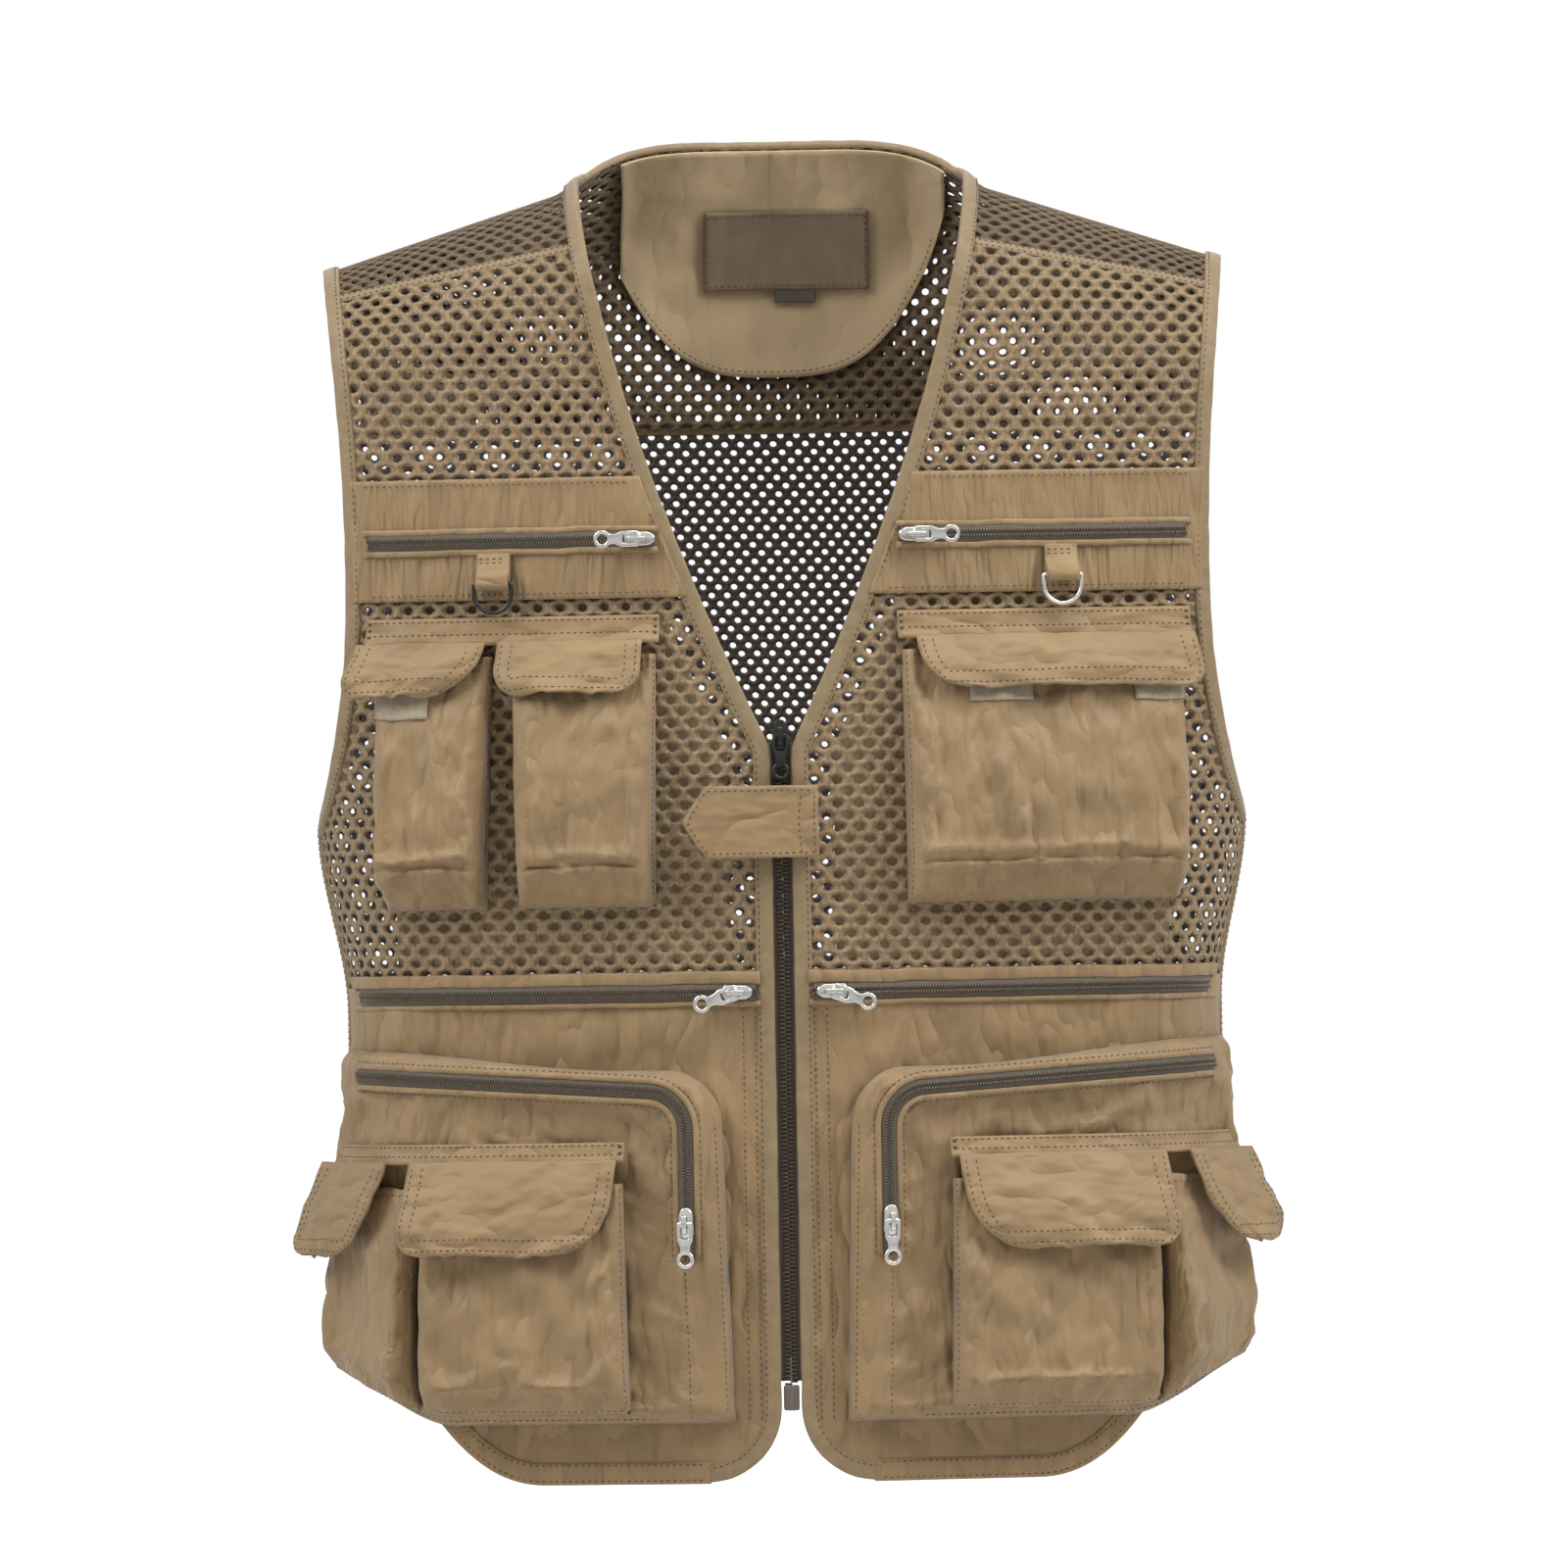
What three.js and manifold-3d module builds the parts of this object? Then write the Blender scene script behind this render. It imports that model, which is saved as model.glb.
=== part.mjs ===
// A man's mesh fishing vest, hanging as it is worn. Millimetres, +Z up, the front faces -Y.
// The origin is the centre of the neck opening, level with the neck end of the shoulders.
// Right and left are the wearer's: right is -X and left is +X.
import * as THREE from "three";
import { mergeVertices } from "three/addons/utils/BufferGeometryUtils.js";
import Module from "manifold-3d";

const wasm = await Module();
wasm.setup();

// Body shell
const shoulderHalf = 228;
const neckHalf = 98;
const shoulderSlope = 0.32;
const collarRise = 26;
const collarSpread = 14;
const collarRun = 45;
const shoulderRound = 65;
const neckRound = 50;
const neckRun = 60;
const backNeckZ = 24.5;
const vNeckZ = -290;
const underarmZ = -326;
const underarmHalf = 236;
const waistHalf = 222;
const waistRun = 95;
const sleeveHalf = 256;
const sleeveRun = 90;
const chestHalf = 217.5;
const chestZ = -200;
const shoulderRun = 160;
const frontDepth = 112;
const backDepth = 104;
const sideTaper = 0.2;
const taperRound = 25;
const sidePower = 10;
const seamGap = 0.005;

// Cloth layers, as distances out from the body surface
const cloth = 1.5;
const layerGap = 0.009821 * frontDepth;
const overlay = cloth + layerGap;
const overlayCloth = 1.2;

// Heights of the seams
const yokeSeamZ = -122;
const waistSeamZ = -407;
const seamSlit = 3;
const hemZ = -662;
const hemCurveStart = 125;
const hemCurveRun = 55;
const hemCurveRise = 38;
const sideHemRise = 20;
const frontCorner = 38;
const backHemZ = hemZ + 56;
const facingDrop = 96;
const facingHalf = 92;

// Edges and trims
const frontGap = 5.6;
const bindingWidth = 7;
const bindingGap = 2;
const bindingCloth = 2.6;
const frontEdgeEndZ = hemZ + 44;
const innerLayer = 0.042857 * frontDepth;

// Chest bands and zips
const bandTopZ = -150;
const bandBottomZ = -211;
const chestZipZ = -181.5;
const chestZipFrom = 62;
const chestZipTo = 206;
const waistZipFrom = 15;
const waistZipTo = 212;
const waistZipZ = -413;
const tapeWidth = 9;
const tapeCloth = 1;
const chestTravel = 126;
const waistTravel = 150;

// Pockets
const pocketWall = 1.4;
const pouchGap = 0.008036 * frontDepth;
const pocketMouth = 4.6;
const chestPocketTopZ = -240;
const chestPocketBottomZ = -369;
const chestPocketDepth = 20;
const flapHingeZ = -233;
const flapCloth = 2;
const flapTilt = 28;
const chestFlapHeight = 29;
const cargoTopZ = -452;
const cargoSideTopZ = -440;
const cargoBottomZ = hemZ + 30;
const cargoSideBottomZ = cargoBottomZ + 28;
const cargoDepth = 16;
const cargoSideDepth = 8;
const cargoDepthFrom = 150;
const cargoDepthRun = 70;
const cargoRiseFrom = 170;
const cargoRiseRun = 65;
const cargoCorner = 27;
const cargoInnerTop = 33;
const cargoInnerBottom = 28;
const gusset = 12;
const gussetTop = 0.6 * gusset;
const cargoZipEndZ = -545;
const cargoZipSideX = 208;
const cargoZipBend = 20;
const cargoSliderZ = -530;
const cargoTravel = 30;
const smallTopZ = -509;
const smallBottomZ = cargoBottomZ + 6;
const smallDepth = 14;
const smallSideDepth = 5;
const smallSideFrom = 185;
const smallSideRun = 30;
const smallInnerX = 80;
const smallSplitX = 181;
const fullAt = 0.62;
const smallFlapZ = -497;
const smallFlapHeight = 50;
const smallFlapTilt = 20;

// Zip hardware
const sliderLength = 12;
const sliderWidth = 9;
const sliderBody = 3.4;
const bridgeWindow = sliderBody + 3.6;
const bridgeTop = bridgeWindow + 1;
const bridgeHalf = 5;
const bridgeSpan = 3.4;
const bridgeWidth = 2.4;
const pullerBarZ = sliderBody + 1.8;
const pullerCloth = 1.6;
const pullerSlotFrom = 1.1;
const pullerSlotTo = 8.2;
const pullerSlotHalf = 2.2;
const pullerHalf = 4.2;
const pullerRingAt = 18;
const pullerRing = 4.6;
const pullerHole = 2.6;
const frontSliderZ = -283;
const frontSliderOffset = -1.9;
const frontZipEndZ = hemZ + 50;
const zipBoxHeight = 13;

// Rings, tab
const ringX = 143.5;
const ringBarZ = -203;
const ringHalf = 11;
const ringWire = 2.4;
const ringDrop = 16;
const loopWidth = 17;
const loopTopZ = -188;
const loopCloth = 1.4;
const loopClearance = 0.7;
const tabTopZ = -308;
const tabBottomZ = -345;
const tabTip = -51;
const tabSewnX = 17;
const tabLeg = 5;
const tabRoom = 0.7;
const tabOffset = frontSliderOffset + bridgeTop + tabRoom;
const tabCloth = 1.6;
const tabLow = 3.4;
const tabPoint = 13;

const khaki = new THREE.Color(0x9a835f);
const taupe = new THREE.Color(0x5f5446);
const steel = new THREE.Color(0xb8b6b0);
const gunmetal = new THREE.Color(0x2c2c2e);

const lerp = THREE.MathUtils.lerp;
const front = -1;
const back = 1;

function smooth(t) {
  return THREE.MathUtils.smoothstep(t, 0, 1);
}

// Height of the shoulder line, which turns up into a short collar beside the neck.
function ridgeZ(x) {
  const reach = Math.abs(x);
  const rise = smooth((neckHalf + collarSpread - reach) / collarRun);
  return shoulderSlope * (neckHalf - reach) + collarRise * rise;
}

// Half width of the closed cross-section. Above the underarm it is the sleeve's, which the armhole cuts.
function sectionHalf(z) {
  if (z > underarmZ) return lerp(underarmHalf, sleeveHalf, smooth((z - underarmZ) / sleeveRun));
  return lerp(underarmHalf, waistHalf, smooth((underarmZ - z) / waistRun));
}

function depthAt(face, x) {
  const reach = Math.hypot(x, taperRound) - taperRound;
  return (face < 0 ? frontDepth : backDepth) - sideTaper * reach;
}

function sideShare(x, z) {
  return 1 - (Math.abs(x) / sectionHalf(z)) ** sidePower;
}

function topShare(x, z) {
  const round = shoulderRound + neckRound * smooth((neckHalf - Math.abs(x)) / neckRun);
  const t = (ridgeZ(x) - z) / round;
  return t >= 1 ? 1 : 1 - (1 - t) ** 2;
}

// Zero on the body surface and positive outside it.
function bodyField(face, p) {
  return (p.y / depthAt(face, p.x)) ** 2 - sideShare(p.x, p.z) * topShare(p.x, p.z);
}

function outward(face, p) {
  const step = 0.01;
  const rise = ["x", "y", "z"].map((axis) => {
    const ahead = p.clone();
    const behind = p.clone();
    ahead[axis] += step;
    behind[axis] -= step;
    return bodyField(face, ahead) - bodyField(face, behind);
  });
  return new THREE.Vector3(...rise).normalize();
}

// A point at a distance out from the front or back surface.
function onBody(face, x, z, out = 0) {
  const share = Math.max(0, sideShare(x, z)) * Math.max(0, topShare(x, z));
  const p = new THREE.Vector3(x, face * depthAt(face, x) * Math.sqrt(share), z);
  return p.addScaledVector(outward(face, p), out);
}

// The x that lies a share u of the way along the cross-section from one x to another.
function along(from, to, z, u) {
  const wrap = 70;
  const run = (x) => x + wrap * (1 - Math.sqrt(Math.max(0, sideShare(x, z))));
  const wanted = lerp(run(from), run(to), u);
  let low = from;
  let high = to;
  for (let i = 0; i < 40; i++) {
    const mid = (low + high) / 2;
    if (run(mid) < wanted) low = mid;
    else high = mid;
  }
  return (low + high) / 2;
}

// Half width of the front opening: the V neck, then the zip's gap.
function openingHalf(z) {
  const t = THREE.MathUtils.clamp(z / vNeckZ, 0, 1);
  return frontGap + (neckHalf - frontGap) * (1 - t ** 1.5);
}

function armholeX(z) {
  if (z > chestZ) return chestHalf + (shoulderHalf - chestHalf) * ((z - chestZ) / shoulderRun) ** 2;
  return chestHalf + (underarmHalf - chestHalf) * ((chestZ - z) / (chestZ - underarmZ)) ** 2.2;
}

// Outer edge of a body panel: short of the armhole by its binding, then the side seam.
function panelEdge(z) {
  if (z <= underarmZ) return sectionHalf(z) - seamGap;
  return Math.min(armholeX(z) - bindingWidth * smooth((z - underarmZ) / 40), sectionHalf(z) - seamGap);
}

function backNeckline(x) {
  const share = Math.min(1, Math.abs(x) / neckHalf) ** 5;
  const neckline = lerp(backNeckZ, ridgeZ(neckHalf), share);
  return Math.abs(x) < neckHalf ? Math.min(neckline, ridgeZ(x) - seamGap) : ridgeZ(x) - seamGap;
}

function frontHem(x) {
  const reach = Math.abs(x);
  const past = Math.max(0, reach - hemCurveStart) / hemCurveRun;
  const sideRun = waistHalf - hemCurveStart - hemCurveRun;
  const curve = hemCurveRise * Math.min(1, past) ** 2.2;
  const side = sideHemRise * Math.max(0, (past - 1) * hemCurveRun) / sideRun;
  const inside = Math.max(0, frontCorner - (reach - frontGap));
  const corner = frontCorner - Math.sqrt(Math.max(0, frontCorner ** 2 - inside ** 2));
  return hemZ + curve + side + corner;
}

// Closed geometry with shared vertices and its faces turned out.
function closed(geometry) {
  const g = geometry.clone();
  g.deleteAttribute("normal");
  g.deleteAttribute("uv");
  const merged = mergeVertices(g, 1e-4);
  const at = merged.getAttribute("position");
  const index = Array.from(merged.index.array);
  const [a, b, c] = [new THREE.Vector3(), new THREE.Vector3(), new THREE.Vector3()];
  let volume = 0;
  for (let i = 0; i < index.length; i += 3) {
    a.fromBufferAttribute(at, index[i]);
    b.fromBufferAttribute(at, index[i + 1]);
    c.fromBufferAttribute(at, index[i + 2]);
    volume += a.dot(b.cross(c));
  }
  if (volume < 0) merged.setIndex(index.reverse());
  return merged;
}

function solid(geometry) {
  const g = closed(geometry);
  const vertProperties = new Float32Array(g.getAttribute("position").array);
  const triVerts = new Uint32Array(g.index.array);
  return new wasm.Manifold(new wasm.Mesh({ numProp: 3, vertProperties, triVerts }));
}

function geometryOf(manifold) {
  const mesh = manifold.getMesh();
  const g = new THREE.BufferGeometry();
  g.setAttribute("position", new THREE.BufferAttribute(mesh.vertProperties, 3));
  g.setIndex(new THREE.BufferAttribute(mesh.triVerts, 1));
  return g;
}

// A segmented box bent to a shape: u runs across, v runs down and w runs out.
function bentBox(across, down, place) {
  const box = new THREE.BoxGeometry(1, 1, 1, across, down, 1);
  const at = box.getAttribute("position");
  for (let i = 0; i < at.count; i++) {
    const p = place(at.getX(i) + 0.5, 0.5 - at.getY(i), at.getZ(i) + 0.5);
    at.setXYZ(i, p.x, p.y, p.z);
  }
  return closed(box);
}

// A straight prism: a flat shape given a thickness centred on its plane.
function plate(shape, thickness) {
  const g = new THREE.ExtrudeGeometry(shape, { depth: thickness, bevelEnabled: false, curveSegments: 6 });
  return closed(g.translate(0, 0, -thickness / 2));
}

function box(x0, x1, y0, y1, z0, z1) {
  const g = new THREE.BoxGeometry(x1 - x0, y1 - y0, z1 - z0);
  return g.translate((x0 + x1) / 2, (y0 + y1) / 2, (z0 + z1) / 2);
}

const vest = new THREE.Group();

function finish(color, metalness = 0, roughness = 0.9) {
  return new THREE.MeshStandardMaterial({ color, metalness, roughness });
}

function add(name, geometry, material, parent = vest) {
  const mesh = new THREE.Mesh(geometry, material);
  mesh.name = name;
  parent.add(mesh);
  return mesh;
}

// A group whose X runs along the surface, whose Y runs up it and whose Z points out.
function station(face, x, z, out, turn = 0, tilt = 0) {
  const origin = onBody(face, x, z, out);
  const across = onBody(face, x + 3, z, out).sub(onBody(face, x - 3, z, out)).normalize();
  const normal = outward(face, onBody(face, x, z));
  const up = normal.clone().cross(across).normalize();
  const group = new THREE.Group();
  group.matrix.makeBasis(across, up, across.clone().cross(up));
  group.matrix.setPosition(origin);
  group.matrix.multiply(new THREE.Matrix4().makeRotationZ(THREE.MathUtils.degToRad(turn)));
  group.matrix.multiply(new THREE.Matrix4().makeRotationX(THREE.MathUtils.degToRad(-tilt)));
  group.matrix.decompose(group.position, group.quaternion, group.scale);
  vest.add(group);
  return group;
}

// Notes how a mesh moves, in its parent group's own axes.
function moves(mesh, joint, type, axis, range, parentNode = null, at = [0, 0, 0]) {
  mesh.userData.joint = { joint, type, axis, range, parentNode, at };
}

// Body panels
function frontMesh(side) {
  return bentBox(10, 18, (u, v, w) => {
    const level = lerp(0, waistSeamZ + seamSlit / 2, v ** 1.25);
    const fall = (1 - v) ** 2;
    const edgeLevel = level + ridgeZ(shoulderHalf) * fall;
    const x = along(openingHalf(level) + bindingWidth, panelEdge(edgeLevel), edgeLevel, u);
    const z = level + (ridgeZ(Math.max(x, neckHalf + bindingWidth)) - seamGap) * fall;
    return onBody(front, side * x, z, w * cloth);
  });
}

function frontLower(side) {
  return bentBox(10, 6, (u, v, w) => {
    const level = lerp(waistSeamZ - seamSlit / 2, hemZ, v);
    const x = along(frontGap + bindingWidth, sectionHalf(level) - seamGap, level, u);
    return onBody(front, side * x, lerp(waistSeamZ - seamSlit / 2, frontHem(x), v), w * cloth);
  });
}

function acrossBack(u, z, edge) {
  const share = 2 * u - 1;
  return Math.sign(share) * along(0, edge, z, Math.abs(share));
}

function backYoke() {
  return bentBox(20, 5, (u, v, w) => {
    const level = lerp(ridgeZ(shoulderHalf), yokeSeamZ, v);
    const x = acrossBack(u, level, panelEdge(level));
    const top = backNeckline(x);
    return onBody(back, x, lerp(top, yokeSeamZ, v ** 1.4), w * cloth);
  });
}

function backPanel(topZ, bottomZ, rows) {
  return bentBox(16, rows, (u, v, w) => {
    const z = lerp(topZ, bottomZ, v);
    return onBody(back, acrossBack(u, z, panelEdge(z)), z, w * cloth);
  });
}

function neckFacing() {
  const half = facingHalf - 6;
  return bentBox(12, 5, (u, v, w) => {
    const x = lerp(-half, half, u);
    const bottom = facingDrop * ((Math.abs(x) / facingHalf) ** 3.2 - 1);
    return onBody(back, x, lerp(backNeckline(x), bottom, v), -innerLayer - w * overlayCloth);
  });
}

function pocketBag(side) {
  return bentBox(12, 8, (u, v, w) => {
    const z = lerp(chestZipZ - 8, waistSeamZ + 8, v);
    const x = along(openingHalf(z) + 3 * bindingWidth, chestZipTo - 4, z, u);
    return onBody(front, side * x, z, -innerLayer - w * overlayCloth);
  });
}

function chestBand(side) {
  return bentBox(8, 2, (u, v, w) => {
    const z = lerp(bandTopZ, bandBottomZ, v);
    const x = along(openingHalf(z) + bindingWidth, panelEdge(z), z, u);
    return onBody(front, side * x, z, overlay + w * overlayCloth);
  });
}

// A strip that follows an edge. edge(s) gives the edge's face, x and z; near and far are distances
// across the strip from the edge, positive towards the open side.
function edgeStrip(edge, steps, near, far, low, high, openSide) {
  return bentBox(1, steps, (u, v, w) => {
    const here = edge(v);
    const step = 0.002;
    const before = edge(Math.max(0, v - step));
    const after = edge(Math.min(1, v + step));
    const p = onBody(here.face, here.x, here.z);
    const run = onBody(after.face, after.x, after.z).sub(onBody(before.face, before.x, before.z)).normalize();
    const normal = outward(here.face, p);
    const across = run.cross(normal).normalize().multiplyScalar(openSide);
    return p.addScaledVector(across, lerp(near, far, u)).addScaledVector(normal, lerp(low, high, w));
  });
}

function armholeBinding(side) {
  const endZ = underarmZ + 26;
  const top = ridgeZ(panelEdge(ridgeZ(shoulderHalf))) - seamGap;
  const edge = (s) => {
    const t = 1 - Math.abs(2 * s - 1);
    const z = lerp(endZ, top, (t + Math.sin((t * Math.PI) / 2)) / 2);
    return { face: s < 0.5 ? front : back, x: side * panelEdge(z), z };
  };
  return edgeStrip(edge, 32, bindingGap, bindingWidth, -1, bindingCloth, side);
}

function frontBinding(side) {
  const foot = 0.5;
  const edge = (s) => {
    const top = ridgeZ(neckHalf + bindingWidth) - seamGap;
    const z = s < foot ? lerp(top, vNeckZ, s / foot) : lerp(vNeckZ, frontEdgeEndZ, (s - foot) / (1 - foot));
    return { face: front, x: side * (openingHalf(z) + bindingWidth), z };
  };
  return edgeStrip(edge, 20, bindingGap, bindingWidth, -1, bindingCloth, side);
}

function flatTape(side, from, to, z, low) {
  return bentBox(7, 1, (u, v, w) => {
    const x = along(from, to, z, u);
    return onBody(front, side * x, z + tapeWidth * (0.5 - v), low + w * tapeCloth);
  });
}

function frontTape(side) {
  return bentBox(1, 8, (u, v, w) => {
    const z = lerp(vNeckZ, frontZipEndZ, v);
    return onBody(front, side * lerp(0.5, 13, u), z, lerp(-4.2, -3.1, w));
  });
}

// Pockets
function chestFullness(v) {
  return pocketMouth + chestPocketDepth * Math.sin((Math.PI / 2) * Math.min(1, v / fullAt));
}

// A pouch with an open mouth and its back on the layer under it. ends(v) gives its two x values,
// heights(x) its top and bottom, base(x) the layer it stands on and fullness(x, v) its depth.
function pouch(side, ends, heights, base, fullness, slope = 0) {
  const shape = (grow, top, low) => (u, v, w) => {
    const [from, to] = ends(v);
    const guess = lerp(...heights((from + to) / 2), v);
    const x = along(from - grow + slope * w, to + grow, guess, u);
    const [topZ, bottomZ] = heights(x);
    const z = lerp(topZ + top - (slope ? gussetTop * w : 0), bottomZ - grow, v);
    const out = base(x) + (w > 0.5 ? fullness(x, v) + grow : low);
    return onBody(front, side * x, z, out);
  };
  const outer = solid(bentBox(6, 6, shape(0, 0, 0)));
  return { outer, inner: (mouth) => solid(bentBox(6, 6, shape(-pocketWall, mouth, -0.8))) };
}

// The cut leaves slivers where the two curved walls cross, and the shell is the largest body.
function shellOf(manifold) {
  const bodies = manifold.decompose();
  bodies.sort((a, b) => b.volume() - a.volume());
  return geometryOf(bodies[0]);
}

function openPouch(side, ends, heights, base, fullness) {
  const { outer, inner } = pouch(side, ends, heights, base, fullness);
  return shellOf(outer.subtract(inner(4)));
}

const chestBase = () => overlay + pouchGap;

function chestPocket(side, from, to, fromLow, toLow) {
  const ends = (v) => [lerp(from, fromLow, v), lerp(to, toLow, v)];
  const heights = () => [chestPocketTopZ, chestPocketBottomZ];
  return openPouch(side, ends, heights, chestBase, (x, v) => chestFullness(v));
}

function cargoFullness(x) {
  return lerp(cargoDepth, cargoSideDepth, smooth((x - cargoDepthFrom) / cargoDepthRun));
}

function cargoFace(x) {
  return chestBase() + cargoFullness(x);
}

function wrapX(z) {
  return sectionHalf(z) * 0.996;
}

function cargoCornerTool(side, inset) {
  const r = cargoCorner - inset;
  const cut = new THREE.Shape();
  cut.moveTo(-30, 30);
  cut.lineTo(r, 30);
  cut.lineTo(r, 0);
  cut.absarc(r, -r, r, Math.PI / 2, Math.PI, false);
  cut.lineTo(-30, -r);
  cut.closePath();
  const g = new THREE.ExtrudeGeometry(cut, { depth: 120, bevelEnabled: false, curveSegments: 6 });
  g.rotateX(Math.PI / 2);
  g.scale(side, 1, 1);
  g.translate(side * (cargoInnerTop + 6 + inset), -60, cargoTopZ - 4 - inset);
  return solid(g);
}

function cargoPocket(side) {
  const ends = (v) => [lerp(cargoInnerTop, cargoInnerBottom, v), wrapX(lerp(cargoTopZ, cargoBottomZ, v))];
  const rise = (x) => smooth((x - 80) / (waistHalf - 80));
  const heights = (x) => [
    lerp(cargoTopZ, cargoSideTopZ, rise(x)),
    lerp(cargoBottomZ, cargoSideBottomZ, smooth((x - cargoRiseFrom) / cargoRiseRun)),
  ];
  const { outer, inner } = pouch(side, ends, heights, chestBase, cargoFullness, gusset);
  const shell = outer.subtract(cargoCornerTool(side, 0));
  return shellOf(shell.subtract(inner(-pocketWall).subtract(cargoCornerTool(side, pocketWall))));
}

function smallBase(x) {
  return cargoFace(x) + 0.9;
}

function smallFullness(x, v) {
  const depth = lerp(smallDepth, smallSideDepth, smooth((x - smallSideFrom) / smallSideRun));
  return pocketMouth + depth * Math.sin((Math.PI / 2) * Math.min(1, v / fullAt));
}

function smallPocket(side, outerPocket) {
  const ends = (v) => {
    const z = lerp(smallTopZ, smallBottomZ, v);
    return outerPocket ? [smallSplitX + 0.6, wrapX(z)] : [smallInnerX - 2 * v, smallSplitX - 0.6];
  };
  const heights = (x) => {
    const rise = smooth((x - cargoRiseFrom) / cargoRiseRun);
    return [smallTopZ, lerp(smallBottomZ, cargoSideBottomZ + 4, rise)];
  };
  return openPouch(side, ends, heights, smallBase, smallFullness);
}

// Zip tape along the top and inner edge of a cargo pocket's front.
function cargoTape(side) {
  const x = cargoInnerTop + gusset + 3;
  const topZ = cargoTopZ - gussetTop;
  const r = cargoZipBend;
  const path = new THREE.Path();
  path.moveTo(x, cargoZipEndZ);
  path.lineTo(x, topZ - r - 3);
  path.absarc(x + r, topZ - r - 3, r, Math.PI, Math.PI / 2, true);
  path.lineTo(cargoZipSideX, topZ + 6);
  const points = path.getSpacedPoints(26);
  return bentBox(26, 1, (u, v, w) => {
    const i = Math.round(u * 26);
    const p = points[i];
    const ahead = points[Math.min(26, i + 1)];
    const behind = points[Math.max(0, i - 1)];
    const across = new THREE.Vector2(behind.y - ahead.y, ahead.x - behind.x).normalize();
    const q = p.clone().addScaledVector(across, tapeWidth * (v - 0.5));
    return onBody(front, side * q.x, q.y, cargoFace(q.x) + 0.9 + w * tapeCloth);
  });
}

// Flaps are flat, with rounded lower corners, and hang a little away from the pouch.
function flapShape(width, height, flare) {
  const half = width / 2;
  const r = 10;
  const s = new THREE.Shape();
  s.moveTo(-half, 0);
  s.lineTo(half, 0);
  s.lineTo(half + flare, -height + r);
  s.quadraticCurveTo(half + flare, -height, half + flare - r, -height);
  s.lineTo(-half - flare + r, -height);
  s.quadraticCurveTo(-half - flare, -height, -half - flare, -height + r);
  s.closePath();
  return s;
}

function flap(name, x, z, out, width, height, tilt) {
  const hinge = station(front, x, z, out, 0, tilt);
  const mesh = add(name, plate(flapShape(width, height, 2), flapCloth), finish(khaki), hinge);
  moves(mesh, name + "_lift", "hinge", [-1, 0, 0], [0, 115]);
}

// Zip hardware: X is the way the puller points, Y is across the zip and Z points out.
function sliderGeometry() {
  const half = sliderWidth / 2;
  const s = new THREE.Shape();
  s.moveTo(-sliderLength / 2, -half * 0.7);
  s.lineTo(sliderLength / 2 - 3, -half);
  s.quadraticCurveTo(sliderLength / 2, -half, sliderLength / 2, 0);
  s.quadraticCurveTo(sliderLength / 2, half, sliderLength / 2 - 3, half);
  s.lineTo(-sliderLength / 2, half * 0.7);
  s.closePath();
  const extrude = { depth: sliderBody, bevelEnabled: false, curveSegments: 4 };
  const body = solid(new THREE.ExtrudeGeometry(s, extrude));
  const halfBridge = bridgeWidth / 2;
  const bridge = solid(box(-bridgeHalf, bridgeHalf, -halfBridge, halfBridge, sliderBody - 0.5, bridgeTop));
  const opening = solid(box(-bridgeSpan, bridgeSpan, -bridgeWidth, bridgeWidth, sliderBody, bridgeWindow));
  return geometryOf(body.add(bridge.subtract(opening)));
}

function pullerGeometry() {
  const s = new THREE.Shape();
  s.moveTo(-pullerSlotFrom, -pullerHalf);
  s.lineTo(pullerSlotTo + 2, -pullerHalf);
  s.lineTo(pullerRingAt - pullerRing, -pullerHalf * 0.7);
  s.absarc(pullerRingAt, 0, pullerRing, -Math.PI * 0.75, Math.PI * 0.75, false);
  s.lineTo(pullerRingAt - pullerRing, pullerHalf * 0.7);
  s.lineTo(pullerSlotTo + 2, pullerHalf);
  s.lineTo(-pullerSlotFrom, pullerHalf);
  s.closePath();
  const slot = new THREE.Path();
  slot.moveTo(pullerSlotFrom, -pullerSlotHalf);
  slot.lineTo(pullerSlotFrom, pullerSlotHalf);
  slot.lineTo(pullerSlotTo, pullerSlotHalf);
  slot.lineTo(pullerSlotTo, -pullerSlotHalf);
  slot.closePath();
  const hole = new THREE.Path();
  hole.absarc(pullerRingAt, 0, pullerHole, 0, Math.PI * 2, true);
  s.holes.push(slot, hole);
  return plate(s, pullerCloth);
}

function zipPull(name, x, z, out, turn, slideRange, metal) {
  const seat = station(front, x, z, out, turn);
  const slider = add(name + "_slider", sliderGeometry(), finish(metal, 1, 0.35), seat);
  moves(slider, name + "_slide", "slide", [1, 0, 0], slideRange);
  const pivot = new THREE.Group();
  pivot.position.set(0, 0, pullerBarZ);
  seat.add(pivot);
  const puller = add(name + "_puller", pullerGeometry(), finish(metal, 1, 0.35), pivot);
  moves(puller, name + "_puller_turn", "hinge", [0, -1, 0], [0, 165], name + "_slider");
}

function ringOutline(half, drop) {
  const s = new THREE.Shape();
  s.moveTo(-half, 0);
  s.lineTo(half, 0);
  s.lineTo(half, -drop + half);
  s.absarc(0, -drop + half, half, 0, -Math.PI, true);
  s.closePath();
  return s;
}

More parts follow.
